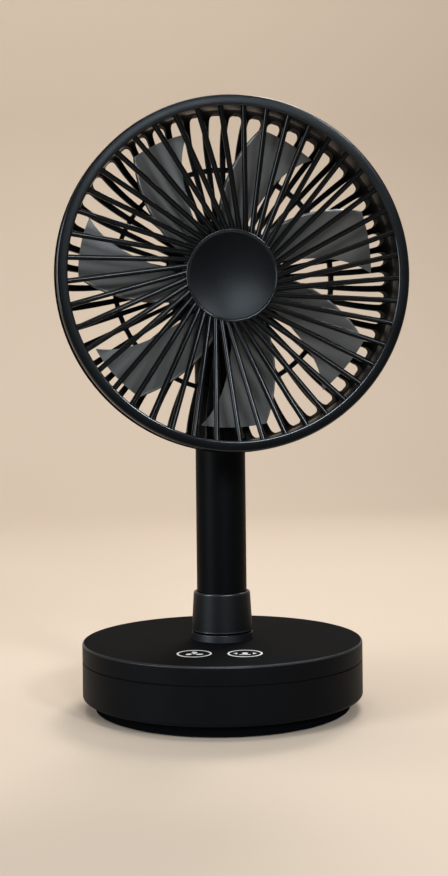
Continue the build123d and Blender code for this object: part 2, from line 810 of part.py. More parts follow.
# Fork at the top of the mast, between whose ears the head tilts
with BuildPart() as tilt_yoke:
    with BuildSketch(Plane.XY.offset(tube_top)):
        Circle(mast_radius)
    extrude(amount=yoke_drop + mast_radius)
    with BuildSketch(hinge_plane):
        Circle(mast_radius)
        with Locations((0, -yoke_drop / 2)):
            Rectangle(mast_diameter, yoke_drop)
    extrude(amount=mast_radius, both=True, mode=Mode.INTERSECT)
    with BuildSketch(hinge_plane):
        with Locations((0, fork_floor - pivot_height)):
            fork_height = mast_diameter + tongue_radius
            Rectangle(mast_diameter + cut_overrun, fork_height, align=(Align.CENTER, Align.MIN))
    extrude(amount=fork_half_width, both=True, mode=Mode.SUBTRACT)
    with BuildSketch(Plane.XY.offset(tube_top)):
        Circle(mast_bore - press_gap)
    extrude(amount=-yoke_spigot)
    with BuildSketch(Plane.XY.offset(tube_top - yoke_spigot)):
        Circle(cable_radius + seat_gap)
    extrude(amount=yoke_spigot + yoke_drop, mode=Mode.SUBTRACT)
    with BuildSketch(hinge_plane):
        Circle(hinge_radius + press_gap)
    extrude(amount=mast_radius, both=True, mode=Mode.SUBTRACT)
    with BuildSketch(hinge_plane.offset(hinge_head_seat)):
        Circle(hinge_head_radius + seat_gap)
    extrude(amount=mast_radius, mode=Mode.SUBTRACT)
    with BuildSketch(hinge_plane.offset(-hinge_nut_seat)):
        RegularPolygon(hinge_nut_width / 2 + press_gap, 6, major_radius=False)
    extrude(amount=-mast_radius, mode=Mode.SUBTRACT)
tilt_yoke.part.label = "tilt_yoke"
export_step(tilt_yoke.part, "parts/tilt_yoke.step")

# Tilt hinge: screw, nut and the two washers whose grip holds the head
with BuildPart() as tilt_screw:
    with BuildSketch(hinge_plane.offset(hinge_head_seat)):
        Circle(hinge_head_radius)
    extrude(amount=hinge_head_height)
    with BuildSketch(hinge_plane.offset(hinge_head_seat + hinge_head_height)):
        RegularPolygon(hinge_socket_width / 2, 6, major_radius=False)
    extrude(amount=-hinge_socket_depth, mode=Mode.SUBTRACT)
    with BuildSketch(hinge_plane.offset(-hinge_nut_face)):
        Circle(hinge_radius)
    extrude(amount=hinge_nut_face + hinge_head_seat)
tilt_screw.part.label = "tilt_screw"
export_step(tilt_screw.part, "parts/tilt_screw.step")

with BuildPart() as tilt_nut:
    with BuildSketch(hinge_plane.offset(-hinge_nut_seat)):
        RegularPolygon(hinge_nut_width / 2, 6, major_radius=False)
        Circle(hinge_radius + press_gap, mode=Mode.SUBTRACT)
    extrude(amount=-hinge_nut_height)
tilt_nut.part.label = "tilt_nut"
export_step(tilt_nut.part, "parts/tilt_nut.step")

with BuildPart() as friction_washers:
    with BuildSketch(hinge_plane.offset(fork_half_width)):
        annulus(friction_washer_radius, hinge_radius + press_gap)
    extrude(amount=-friction_washer_thickness)
    mirror(about=Plane.YZ)
friction_washers.part.label = "friction_washers"
export_step(friction_washers.part, "parts/friction_washers.step")

# Motor cable up the middle of the spindle and mast
with BuildPart() as mast_cable:
    with BuildSketch(Plane.XY.offset(spindle_bottom)):
        Circle(cable_radius)
    extrude(amount=fork_floor - spindle_bottom)
mast_cable.part.label = "mast_cable"
export_step(mast_cable.part, "parts/mast_cable.step")

# Motor housing: a cup with the bearing tube inside and the tilt tongue behind
with BuildPart() as motor_housing:
    with BuildSketch(head_section):
        outline(
            (0, housing_back),
            (housing_radius, housing_back),
            (housing_radius, grille_floor),
            (housing_flange_radius, grille_floor),
            (housing_flange_radius, housing_front),
            (housing_bore, housing_front),
            (housing_bore, motor_board_back),
            (housing_bore - housing_wall, motor_board_back),
            (housing_bore - housing_wall, housing_floor),
            (bearing_tube_radius, housing_floor),
            (bearing_tube_radius, bearing_top),
            (bearing_seat, bearing_top),
            (bearing_seat, housing_floor),
            (0, housing_floor),
        )
    revolve(axis=head_axis)
    with BuildSketch(hinge_plane):
        Circle(tongue_radius)
        with Locations((-(housing_back + housing_floor) / 4, 0)):
            Rectangle((housing_back + housing_floor) / 2, 2 * tongue_radius)
    extrude(amount=tongue_thickness / 2, both=True)
    with BuildSketch(hinge_plane):
        Circle(hinge_radius + running_gap)
    extrude(amount=tongue_thickness, both=True, mode=Mode.SUBTRACT)
    with BuildSketch(head_plane.offset(grille_floor)):
        with PolarLocations(housing_screw_circle, housing_screw_count, housing_screw_turn):
            Circle(small_screw_radius + press_gap)
    extrude(amount=housing_screw_bite, mode=Mode.SUBTRACT)
motor_housing.part.label = "motor_housing"
export_step(motor_housing.part, "parts/motor_housing.step")

# Screws from behind that hold the housing to the rear grille
with BuildPart() as housing_screws:
    with BuildSketch(head_plane.offset(grille_back)):
        with PolarLocations(housing_screw_circle, housing_screw_count, housing_screw_turn):
            Circle(small_head_radius)
    extrude(amount=small_head_height)
    with BuildSketch(head_plane.offset(grille_back)):
        with PolarLocations(housing_screw_circle, housing_screw_count, housing_screw_turn):
            Circle(small_screw_radius)
    extrude(amount=rear_wall + housing_screw_bite)
housing_screws.part.label = "housing_screws"
export_step(housing_screws.part, "parts/housing_screws.step")


def rear_spoke_width(radius):
    """Give the width of a rear spoke, which grows from the hub to the rim."""
    share = (radius - rear_hub_radius) / (window_outer_radius - rear_hub_radius)
    return rear_spoke_hub_width + share * (rear_spoke_rim_width - rear_spoke_hub_width)


def rear_window(inner_radius, outer_radius, outer_fillet):
    """Make one opening between two rear spokes, with rounded corners."""
    corners = []
    for radius in (inner_radius, outer_radius):
        half_angle = math.pi / rear_spoke_count - math.asin(rear_spoke_width(radius) / (2 * radius))
        corners.append(Vector(radius * math.cos(half_angle), radius * math.sin(half_angle)))
    inner, outer = corners
    corner_share = 0.4
    with BuildSketch(mode=Mode.PRIVATE) as window:
        outline((inner.X, -inner.Y), (outer.X, -outer.Y), (outer.X, outer.Y), (inner.X, inner.Y))
        ends = window.vertices().group_by(Axis.X)
        fillet(ends[0], min(window_fillet, 2 * inner.Y * corner_share))
        ends = window.vertices().group_by(Axis.X)
        fillet(ends[-1], min(outer_fillet, 2 * outer.Y * corner_share))
    return window.sketch


# Rear grille: a round-cornered pan with two rings of openings
with BuildPart() as rear_grille:
    with BuildSketch(head_section):
        with BuildLine():
            corner_centre = (rear_flat_radius, rear_corner_level)
            CenterArc(corner_centre, rear_corner_radius, -90, 90)
            CenterArc(corner_centre, rear_corner_radius - rear_wall, -90, 90)
            Polyline(
                (rear_outer_radius, rear_corner_level),
                (rear_outer_radius, rim_back),
                (rim_radius, rim_back),
                (rim_radius, rim_front),
                (outer_skirt_bore - press_gap, rim_front),
                (outer_skirt_bore - press_gap, rim_front + bead_height),
                (inner_skirt_radius + press_gap, rim_front + bead_height),
                (inner_skirt_radius + press_gap, rim_front),
                (rear_inner_radius, rim_front),
                (rear_inner_radius, rear_corner_level),
            )
            Polyline(
                (rear_flat_radius, grille_floor),
                (rear_hub_bore, grille_floor),
                (rear_hub_bore, grille_back),
                (rear_flat_radius, grille_back),
            )
        make_face()
    revolve(axis=head_axis)
    fillet(round_edges(rear_grille, rim_radius, rim_front, head_axis), rim_edge_radius)
    fillet(round_edges(rear_grille, rim_radius, rim_back, head_axis), rim_edge_radius)
    outer_window = rear_window(mid_ring_radius + mid_ring_width / 2, window_outer_radius, window_rim_fillet)
    inner_window = rear_window(rear_hub_radius, mid_ring_radius - mid_ring_width / 2, window_fillet)
    with BuildSketch(head_plane.offset(grille_back - cut_overrun)):
        with PolarLocations(0, rear_spoke_count):
            add(outer_window)
            add(inner_window)
    extrude(amount=rear_corner_radius + 2 * cut_overrun, mode=Mode.SUBTRACT)
    with BuildSketch(head_plane.offset(grille_back)):
        with PolarLocations(housing_screw_circle, housing_screw_count, housing_screw_turn):
            Circle(small_head_radius + press_gap)
    extrude(amount=small_head_height, mode=Mode.SUBTRACT)
    with BuildSketch(head_plane.offset(grille_back)):
        with PolarLocations(housing_screw_circle, housing_screw_count, housing_screw_turn):
            Circle(small_screw_radius + press_gap)
    extrude(amount=rear_wall, mode=Mode.SUBTRACT)
rear_grille.part.label = "rear_grille"
export_step(rear_grille.part, "parts/rear_grille.step")


def front_spoke_plane(index):
    """Give the plane at a front spoke's inner end, facing along the spoke."""
    angle = math.radians(front_spoke_turn + index * 360 / front_spoke_count)
    along = Vector(math.cos(angle), math.sin(angle))
    aside = Vector(math.sin(angle), -math.cos(angle)) * front_spoke_skew
    inner_end = along * math.sqrt(front_spoke_inner**2 - front_spoke_skew**2) + aside
    outer_end = along * math.sqrt(front_spoke_outer**2 - front_spoke_skew**2) + aside
    start = head_plane.from_local_coords((inner_end.X, inner_end.Y, front_spoke_hub_level))
    end = head_plane.from_local_coords((outer_end.X, outer_end.Y, front_spoke_rim_level))
    across = head_plane.x_dir * aside.X + head_plane.y_dir * aside.Y
    return Plane(origin=start, x_dir=across, z_dir=end - start)


# Front grille: a channel-shaped ring, swirled rods and a recessed hub
front_spoke_inner = front_hub_radius - cap_rim / 2
front_spoke_outer = ring_inner_radius + skirt_wall / 2
front_spoke_hub_level = front_hub_back + front_hub_thickness / 2
front_spoke_rim_level = head_front - front_spoke_sink - front_spoke_depth / 2
front_spoke_run = math.sqrt(front_spoke_outer**2 - front_spoke_skew**2)
front_spoke_run -= math.sqrt(front_spoke_inner**2 - front_spoke_skew**2)
front_spoke_length = math.hypot(front_spoke_run, front_spoke_rim_level - front_spoke_hub_level)
with BuildPart() as front_grille:
    with BuildSketch(head_section):
        outline(
            (ring_inner_radius, head_front),
            (ring_radius, head_front),
            (ring_radius, rim_front + ring_groove),
            (outer_skirt_bore, rim_front + ring_groove),
            (outer_skirt_bore, head_front - ring_flange),
            (inner_skirt_radius, head_front - ring_flange),
            (inner_skirt_radius, rim_front),
            (ring_inner_radius, rim_front),
        )
        outline(
            (0, front_hub_back),
            (front_hub_radius, front_hub_back),
            (front_hub_radius, front_hub_face),
            (0, front_hub_face),
        )
    revolve(axis=head_axis)
    fillet(round_edges(front_grille, ring_radius, head_front, head_axis), ring_edge_radius)
    fillet(round_edges(front_grille, ring_inner_radius, head_front, head_axis), ring_edge_radius)
    fillet(round_edges(front_grille, front_hub_radius, front_hub_face, head_axis), front_hub_edge_radius)
    with BuildSketch(*[front_spoke_plane(index) for index in range(front_spoke_count)]):
        SlotOverall(front_spoke_depth, front_spoke_width, rotation=90)
    extrude(amount=front_spoke_length)
    with BuildSketch(head_plane.offset(cap_seat)):
        Circle(front_hub_radius - cap_rim)
    extrude(amount=cap_depth + cut_overrun, mode=Mode.SUBTRACT)
front_grille.part.label = "front_grille"
export_step(front_grille.part, "parts/front_grille.step")

# Plain dished cap in the middle of the front grille
with BuildPart() as hub_cap:
    with BuildSketch(head_section):
        with BuildLine():
            dish_edge = cap_radius - cap_land
            dish_radius = (dish_edge**2 + cap_dish**2) / (2 * cap_dish)
            dish_floor = cap_front - cap_dish
            half_way = dish_floor + dish_radius - math.sqrt(dish_radius**2 - (dish_edge / 2) ** 2)
            ThreePointArc((0, dish_floor), (dish_edge / 2, half_way), (dish_edge, cap_front))
            Polyline(
                (dish_edge, cap_front),
                (cap_radius, cap_front),
                (cap_radius, cap_seat),
                (0, cap_seat),
                (0, dish_floor),
            )
        make_face()
    revolve(axis=head_axis)
hub_cap.part.label = "hub_cap"
export_step(hub_cap.part, "parts/hub_cap.step")

# Motor control board, a ring around the bearing tube
with BuildPart() as motor_board:
    with BuildSketch(head_plane.offset(motor_board_back)):
        annulus(housing_bore - seat_gap, bearing_tube_radius + motor_board_gap)
    extrude(amount=motor_board_thickness)
motor_board.part.label = "motor_board"
export_step(motor_board.part, "parts/motor_board.step")

# Two bearings and the sleeve that keeps them apart
with BuildPart() as rear_bearing:
    with BuildSketch(head_plane.offset(housing_floor)):
        annulus(bearing_radius, bearing_bore)
    extrude(amount=bearing_width)
rear_bearing.part.label = "rear_bearing"
export_step(rear_bearing.part, "parts/rear_bearing.step")

with BuildPart() as front_bearing:
    with BuildSketch(head_plane.offset(bearing_top)):
        annulus(bearing_radius, bearing_bore)
    extrude(amount=-bearing_width)
front_bearing.part.label = "front_bearing"
export_step(front_bearing.part, "parts/front_bearing.step")

with BuildPart() as bearing_spacer:
    with BuildSketch(head_plane.offset(housing_floor + bearing_width)):
        annulus(bearing_radius, shaft_radius + seat_gap)
    extrude(amount=bearing_top - housing_floor - 2 * bearing_width)
bearing_spacer.part.label = "bearing_spacer"
export_step(bearing_spacer.part, "parts/bearing_spacer.step")

# Stator with salient teeth
tooth_pitch = 360 / stator_teeth
tooth_start = stator_yoke_radius - stator_yoke_wall / 2
tooth_end = stator_radius - shoe_thickness / 2
with BuildPart() as stator_core:
    with BuildSketch(head_plane.offset(stator_back)):
        annulus(stator_radius, stator_radius - shoe_thickness)
        with PolarLocations(stator_radius, stator_teeth, tooth_pitch / 2):
            Rectangle(stator_radius / 2, shoe_slot, mode=Mode.SUBTRACT)
        Circle(stator_yoke_radius)
        with PolarLocations((tooth_start + tooth_end) / 2, stator_teeth):
            Rectangle(tooth_end - tooth_start, tooth_width)
        Circle(stator_bore, mode=Mode.SUBTRACT)
    extrude(amount=stator_height)
stator_core.part.label = "stator_core"
export_step(stator_core.part, "parts/stator_core.step")

# One winding around each stator tooth
coil_start = stator_yoke_radius + coil_end_gap
coil_end = stator_radius - shoe_thickness - coil_end_gap
coil_level = (stator_back + stator_front) / 2
quarter_turn = 90
coil_angles = [quarter_turn + index * tooth_pitch for index in range(stator_teeth)]
with BuildPart() as stator_coils:
    with BuildSketch(*[radial_plane(angle, coil_start, coil_level) for angle in coil_angles]):
        RectangleRounded(tooth_width + 2 * coil_build, stator_height + 2 * coil_build, coil_build)
        Rectangle(tooth_width + 2 * press_gap, stator_height + 2 * press_gap, mode=Mode.SUBTRACT)
    extrude(amount=coil_end - coil_start)
stator_coils.part.label = "stator_coils"
export_step(stator_coils.part, "parts/stator_coils.step")

# Rotor: steel can, magnet ring and shaft
with BuildPart() as rotor_can:
    with BuildSketch(head_section):
        outline(
            (shaft_fit, can_inside),
            (can_inner_radius, can_inside),
            (can_inner_radius, impeller_back),
            (can_radius, impeller_back),
            (can_radius, can_front),
            (shaft_fit, can_front),
        )
    revolve(axis=head_axis)
rotor_can.part.label = "rotor_can"
export_step(rotor_can.part, "parts/rotor_can.step")

with BuildPart() as magnet_ring:
    with BuildSketch(head_plane.offset(magnet_back)):
        annulus(magnet_radius, magnet_inner_radius)
    extrude(amount=magnet_height)
magnet_ring.part.label = "magnet_ring"
export_step(magnet_ring.part, "parts/magnet_ring.step")

with BuildPart() as motor_shaft:
    with BuildSketch(head_plane.offset(housing_floor + seat_gap)):
        Circle(shaft_radius)
    extrude(amount=nut_front - housing_floor - seat_gap)
motor_shaft.part.label = "motor_shaft"
export_step(motor_shaft.part, "parts/motor_shaft.step")


def blade_section(reach_share, leading_angle, trailing_angle, blade_angle):
    """Draw one cambered section of a blade, square to its own radius."""
    root = impeller_radius - blade_root_sink
    radius = root + reach_share * (blade_radius + blade_overrun - root)
    half_angle = math.radians(leading_angle - trailing_angle) / 2
    half_chord = radius * math.sin(half_angle)
    middle = blade_angle + (leading_angle + trailing_angle) / 2
    rise = blade_depth / 2
    slant = math.atan2(rise, half_chord)
    normal = Vector(math.sin(slant), -math.cos(slant))
    side = normal * (blade_thickness / 2)
    bow = normal * -blade_camber
    trailing = Vector(-half_chord, -rise)
    leading = Vector(half_chord, rise)
    with BuildLine(Plane.XY) as rim:
        ThreePointArc(trailing + side, bow + side, leading + side)
        Line(leading + side, leading - side)
        ThreePointArc(leading - side, bow - side, trailing - side)
        Line(trailing - side, trailing + side)
    with BuildSketch(radial_plane(middle, radius * math.cos(half_angle), blade_middle)) as section:
        make_face(rim.edges())
    return section.sketch


# Impeller: swept blades on a hub that caps the rotor
blade_plan = list(zip(blade_reach_shares, blade_leading_angles, blade_trailing_angles))
with BuildPart() as fan_blades:
    for index in range(blade_count):
        blade_angle = blade_turn + index * 360 / blade_count
        loft([blade_section(*edges, blade_angle) for edges in blade_plan])
    with BuildSketch(head_plane.offset(impeller_back)):
        Circle(blade_radius)
    extrude(amount=impeller_depth, mode=Mode.INTERSECT)
    with BuildSketch(head_section) as hub_section:
        outline(
            (0, impeller_back),
            (impeller_radius, impeller_back),
            (impeller_radius, impeller_front),
            (0, impeller_front),
        )
        fillet(hub_section.vertices().group_by(Axis.X)[-1].sort_by(Axis.Y)[-1], impeller_edge_radius)
    revolve(axis=head_axis)
    with BuildSketch(head_plane.offset(impeller_back)):
        Circle(impeller_bore)
    extrude(amount=can_front - impeller_back, mode=Mode.SUBTRACT)
    with BuildSketch(head_plane.offset(can_front)):
        Circle(shaft_fit)
    extrude(amount=impeller_face, mode=Mode.SUBTRACT)
fan_blades.part.label = "fan_blades"
export_step(fan_blades.part, "parts/fan_blades.step")

# Nut that holds the impeller on its shaft
with BuildPart() as blade_nut:
    with BuildSketch(head_plane.offset(impeller_front)):
        RegularPolygon(nut_width / 2, 6, major_radius=False)
        Circle(shaft_fit, mode=Mode.SUBTRACT)
    extrude(amount=nut_height)
blade_nut.part.label = "blade_nut"
export_step(blade_nut.part, "parts/blade_nut.step")
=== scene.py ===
import math
from collections import namedtuple

import bmesh
import bpy
from bpy.props import FloatProperty, FloatVectorProperty, IntProperty, PointerProperty
from bpy.types import Operator, Panel, PropertyGroup
from mathutils import Matrix, Vector


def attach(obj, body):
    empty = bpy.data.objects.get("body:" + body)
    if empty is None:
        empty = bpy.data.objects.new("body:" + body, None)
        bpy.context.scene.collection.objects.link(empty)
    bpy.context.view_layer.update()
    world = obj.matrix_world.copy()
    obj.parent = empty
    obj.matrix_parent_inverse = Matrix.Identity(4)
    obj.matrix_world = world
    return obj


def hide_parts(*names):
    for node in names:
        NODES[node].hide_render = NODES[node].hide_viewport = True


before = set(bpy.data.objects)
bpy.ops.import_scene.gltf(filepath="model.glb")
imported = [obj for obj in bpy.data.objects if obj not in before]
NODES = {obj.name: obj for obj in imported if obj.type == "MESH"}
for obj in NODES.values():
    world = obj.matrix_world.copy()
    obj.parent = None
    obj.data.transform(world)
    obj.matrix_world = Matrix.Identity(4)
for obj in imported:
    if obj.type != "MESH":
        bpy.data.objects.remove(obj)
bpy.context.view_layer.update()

bl_info = {
    "name": "Rechargeable table fan",
    "version": (1, 0, 0),
    "blender": (4, 5, 0),
    "location": "View3D > Sidebar > Fan",
    "description": "Dresses the packed table fan with its guard, prints, screws, finishes and studio",
    "category": "Object",
}

FULL_TURN = 2 * math.pi
QUARTER_TURN = math.radians(90)

# Vertices this close are made one, and edges this close count as being at a place
WELD = 1e-7
REACH = 1e-6

# Steps of turned shapes and segments of rounded edges
RING_STEPS = 192
HUB_STEPS = 96
CAP_STEPS = 128
DISH_STEPS = 24
MARK_STEPS = 96
OVAL_SIDES = 20
SCREW_STEPS = 32
RIM_SEGMENTS = 4
FOLD_SEGMENTS = 24

# Edges that bend more than this stay sharp
PIECE_BEND = math.radians(35)
CAP_BEND = math.radians(8)
SCREW_BEND = math.radians(30)

# Material slots of the guard's rods and rounded edges
ROD_SLOT = 1
RIM_SLOT = 2

# Gloss patches, colour drift and tint of the reflections of moulded plastic
PATCH_SCALE = 55
PATCH_GLOSS = 0.035
PATCH_DULLING = 0.045
DRIFT_SCALE = 130
DRIFT = 0.07
SHEEN_TINT = (0.84, 0.93, 1.0, 1)

# Sizes in metres, the beam in degrees and the power in watts
Lamp = namedtuple("Lamp", "name where target wide high beam power tone")
LAMPS = (
    Lamp("front_lamp", (0.09, -1.15, 0.48), (0, 0, 0.16), 0.23, 0.23, 60, 0.73, (0.9, 0.95, 1.0)),
    Lamp("right_lamp", (0.42, -1.0, 0.6), (0, 0, 0.16), 0.16, 0.16, 60, 0.6, (0.93, 0.97, 1.0)),
    Lamp("side_lamp", (-0.97, -0.47, 0.31), (0, 0, 0.1), 0.42, 0.6, 70, 1.6, (0.9, 0.95, 1.0)),
    Lamp("top_lamp", (0, -0.1, 1.5), (0, 0, 0), 1.0, 1.0, 180, 9.0, (1.0, 0.99, 0.97)),
    Lamp("backdrop_lamp", (0, 0.45, 1.7), (0, 1.3, 0.6), 1.6, 0.5, 120, 9.0, (1.0, 0.98, 0.95)),
    Lamp("back_lamp", (0.45, 0.8, 1.1), (0, 0, 0.13), 0.45, 0.45, 90, 2.2, (1.0, 0.97, 0.93)),
)


# Settings


def length(name, description, default):
    """Describe one size in metres."""
    return FloatProperty(name=name, description=description, default=default, unit="LENGTH", precision=5)


def angle(name, description, degrees):
    """Describe one angle, given in degrees."""
    return FloatProperty(name=name, description=description, default=math.radians(degrees), subtype="ANGLE")


def colour(name, description, default):
    """Describe one linear colour."""
    return FloatVectorProperty(
        name=name, description=description, default=default, size=3, min=0, max=1, subtype="COLOR"
    )


def share(name, description, default):
    """Describe one share between nothing and all."""
    return FloatProperty(name=name, description=description, default=default, min=0, max=1, subtype="FACTOR")


def number(name, description, default):
    """Describe one plain number."""
    return FloatProperty(name=name, description=description, default=default)


def count(name, description, default, least):
    """Describe how many there are of something."""
    return IntProperty(name=name, description=description, default=default, min=least)


class GuardSizes(PropertyGroup):
    """Sizes of the front guard"""

    pivot_height: length("Pivot height", "Height of the tilt axis", 0.167)
    front: length("Front", "Front face of the ring, forward of the tilt axis", 0.0428)
    ring_back: length("Ring back", "Back edge of the ring's outer skirt", 0.0354)
    skirt_back: length("Skirt back", "Back edge of the ring's inner skirt", 0.0348)
    flange: length("Flange", "Thickness of the ring's front face", 0.0018)
    skirt: length("Skirt", "Wall of the ring's two skirts", 0.0016)
    ring_radius: length("Ring radius", "Outer radius of the ring", 0.065)
    ring_bore: length("Ring bore", "Inner radius of the ring", 0.061)
    ring_edge: length("Ring edge", "Rounding of the ring's front edges", 0.0006)
    hub_radius: length("Hub radius", "Outer radius of the hub", 0.0173)
    hub_rim: length("Hub rim", "Width of the lip around the cap", 0.0009)
    hub_face: length("Hub face", "Front of the hub, forward of the tilt axis", 0.0338)
    hub_floor: length("Hub floor", "Seat of the cap, forward of the tilt axis", 0.0316)
    hub_back: length("Hub back", "Back of the hub, forward of the tilt axis", 0.0307)
    hub_edge: length("Hub edge", "Rounding of the hub's front edges", 0.00025)
    cap_gap: length("Cap gap", "Gap around the cap", 0.00002)
    cap_sink: length("Cap sink", "How far the cap lies behind the hub's face", 0.0002)
    cap_land: length("Cap land", "Flat border of the cap", 0.0003)
    cap_dish: length("Cap dish", "Depth of the cap's dish", 0.0014)
    rod_count: count("Rods", "Rods around the hub", 45, 3)
    rod_turn: angle("Rod turn", "Turn of the first rod from the right-hand side", 4.4)
    rod_width: length("Rod width", "Width of a rod, seen from the front", 0.002)
    rod_depth: length("Rod depth", "Depth of a rod, front to back", 0.0026)
    rod_skew: length("Rod skew", "How far a rod passes the fan's axis", 0.006)
    rod_sink: length("Rod sink", "How far the rods lie behind the ring's face", 0.0003)
    rod_sides: count("Rod sides", "Sides of a rod's oval section", 18, 6)


class BaseSizes(PropertyGroup):
    """Sizes of the base and the collar that prints and finishes follow"""

    radius: length("Radius", "Outer radius of the base", 0.055)
    top: length("Top", "Height of the base's top face", 0.0268)
    collar_top_radius: length("Collar top radius", "Radius of the collar's upper rim", 0.0111)
    collar_top: length("Collar top", "Height of the collar's upper rim", 0.04565)
    collar_foot_radius: length("Collar foot radius", "Radius of the collar's lower rim", 0.012)
    collar_foot: length("Collar foot", "Height of the collar's lower rim", 0.03025)
    # Width of the painted highlight band around a rim.
    edge: length("Edge", "Reach of the polish around a rim", 0.0008)


class PrintSizes(PropertyGroup):
    """Sizes of the printed touch marks"""

    turn: angle("Turn", "Turn of the control line about the mast", -11)
    reach: length("Reach", "Distance of the marks from the mast's axis", 0.031)
    spacing: length("Spacing", "Distance between the two marks", 0.0189)
    radius: length("Radius", "Outer radius of a printed ring", 0.00655)
    line: length("Line", "Width of a printed line", 0.0007)
    ink: length("Ink", "Thickness of the print", 0.00004)
    dot: length("Dot", "Radius of the dot between the petals", 0.0007)
    petals: count("Petals", "Petals around the dot", 3, 1)
    petal_reach: length("Petal reach", "Distance of a petal's middle from the dot's", 0.0023)
    petal_wide: length("Petal width", "Half the width of a petal", 0.001)
    petal_long: length("Petal length", "Half the length of a petal", 0.0014)
    petal_lean: angle("Petal lean", "Lean of a petal against its line from the dot", 28)
    head_rise: length("Head rise", "Height of the head's middle in the mark", 0.0003)
    head_wide: length("Head width", "Half the width of the head", 0.0011)
    head_long: length("Head length", "Half the length of the head", 0.0015)
    arrow_tip: length("Arrow tip", "Distance of an arrow's tip from the middle", 0.0044)
    arrow_tail: length("Arrow tail", "Distance of an arrow's tail from the middle", 0.0029)
    arrow_half: length("Arrow half", "Half the height of an arrow's tail", 0.0014)
    bar_half: length("Bar half", "Half the length of the bar under the head", 0.0021)
    bar_drop: length("Bar drop", "Distance of the bar's lower edge from the middle", 0.0025)


class ScrewSizes(PropertyGroup):
    """Sizes of the screws behind the motor housing"""

    count: count("Screws", "Screws around the housing", 4, 1)
    circle: length("Circle", "Radius of the circle that the screws stand on", 0.01985)
    turn: angle("Turn", "Turn of the first screw from the right-hand side", 45)
    twist: number("Twist", "Turn of a recess for each turn of its screw around the housing", 1.7)
    seat: length("Seat", "Outer face of the heads, forward of the tilt axis", 0.0121)
    head_radius: length("Head radius", "Radius of a head", 0.0019)
    head_height: length("Head height", "Height of a head", 0.0012)
    flat_radius: length("Flat radius", "Radius of a head's flat face", 0.00114)
    flat_rise: length("Flat rise", "Height of a head's flat face above its rim", 0.0003)
    shank_radius: length("Shank radius", "Radius of a shank", 0.001)
    shank_length: length("Shank length", "Length below the outer face", 0.0034)
    recess_width: length("Recess width", "Width of the cross recess", 0.0005)
    recess_span: length("Recess span", "Length of the cross recess", 0.0023)
    recess_depth: length("Recess depth", "Depth of the cross recess", 0.0007)


class InletSizes(PropertyGroup):
    """Sizes of the contacts in the charging inlet"""

    start: length("Start", "Inner end of the contacts, behind the mast's axis", 0.0484)
    run: length("Run", "Length of a contact", 0.0034)
    height: length("Height", "Middle height of the tongue", 0.0125)
    tongue: length("Tongue", "Thickness of the tongue", 0.0007)
    tongue_width: length("Tongue width", "Width of the tongue", 0.0067)
    margin: length("Margin", "How far the tongue's finish reaches past its faces", 0.00005)
    pitch: length("Pitch", "Distance between contacts", 0.0005)
    width: length("Width", "Width of a contact", 0.00026)
    plating: length("Plating", "Thickness of a contact above the tongue", 0.00003)
    count: count("Contacts", "Contacts on each side", 12, 1)


class FanFinishes(PropertyGroup):
    """Colours, roughness and shine of the fan's finishes"""

    black: colour("Black", "Black mouldings", (0.0021, 0.0024, 0.0029))
    base_black: colour("Base black", "Black of the base", (0.0031, 0.0034, 0.004))
    tube: colour("Tube", "Coating of the mast", (0.0014, 0.0016, 0.0019))
    grey: colour("Grey", "Matte grey blades", (0.083, 0.084, 0.082))
    ink: colour("Ink", "Print of the touch marks", (0.82, 0.83, 0.84))
    rubber: colour("Rubber", "Rubber ring and cable", (0.006, 0.006, 0.006))
    steel: colour("Steel", "Plated steel", (0.56, 0.56, 0.58))
    core: colour("Core", "Stator laminations", (0.26, 0.26, 0.28))
    bronze: colour("Bronze", "Sintered bushes", (0.5, 0.34, 0.16))
    copper: colour("Copper", "Windings and electrodes", (0.72, 0.31, 0.15))
    magnet: colour("Magnet", "Bonded magnet", (0.07, 0.07, 0.075))
    acetal: colour("Acetal", "White gears and washers", (0.78, 0.77, 0.72))
    board: colour("Board", "Solder mask", (0.012, 0.13, 0.045))
    cell: colour("Cell", "Wrap of the battery", (0.12, 0.2, 0.42))
    gold: colour("Gold", "Contacts of the inlet", (0.9, 0.62, 0.25))
    # Painted highlight: the edge colour is the lighter tone laid along the rims in place of the gloss they
    # catch.
    edge: colour("Edge", "Polished edges", (0.06, 0.065, 0.072))
    # Painted highlight on the boss under the collar.
    boss: colour("Boss", "Polished boss under the collar", (0.042, 0.046, 0.052))
    satin: share("Satin", "Roughness of the satin black", 0.27)
    wall: share("Wall", "Roughness of the base's side wall, the collar and the hinge", 0.45)
    matte: share("Matte", "Roughness of the base's top face and other dull black", 0.85)
    rod: share("Rod", "Roughness of the guard's rods", 0.08)
    rim: share("Rim", "Roughness of the guard's rounded edges", 0.1)
    coat: share("Coat", "Roughness of the mast's coating", 0.43)
    blade: share("Blade", "Roughness of the blades", 0.38)
    satin_shine: share("Satin shine", "Specular level of the satin black", 0.062)
    base_shine: share("Base shine", "Specular level of the base's black", 0.035)
    collar_shine: share("Collar shine", "Specular level of the collar and the hinge", 0.15)
    grille_shine: share("Grille shine", "Specular level of the rear grille", 0.01167)
    coat_shine: share("Coat shine", "Specular level of the mast's coating", 0.04133)
    rod_shine: share("Rod shine", "Specular level of the guard's rods", 0.17)
    rim_shine: share("Rim shine", "Specular level of the guard's rounded edges", 0.45)


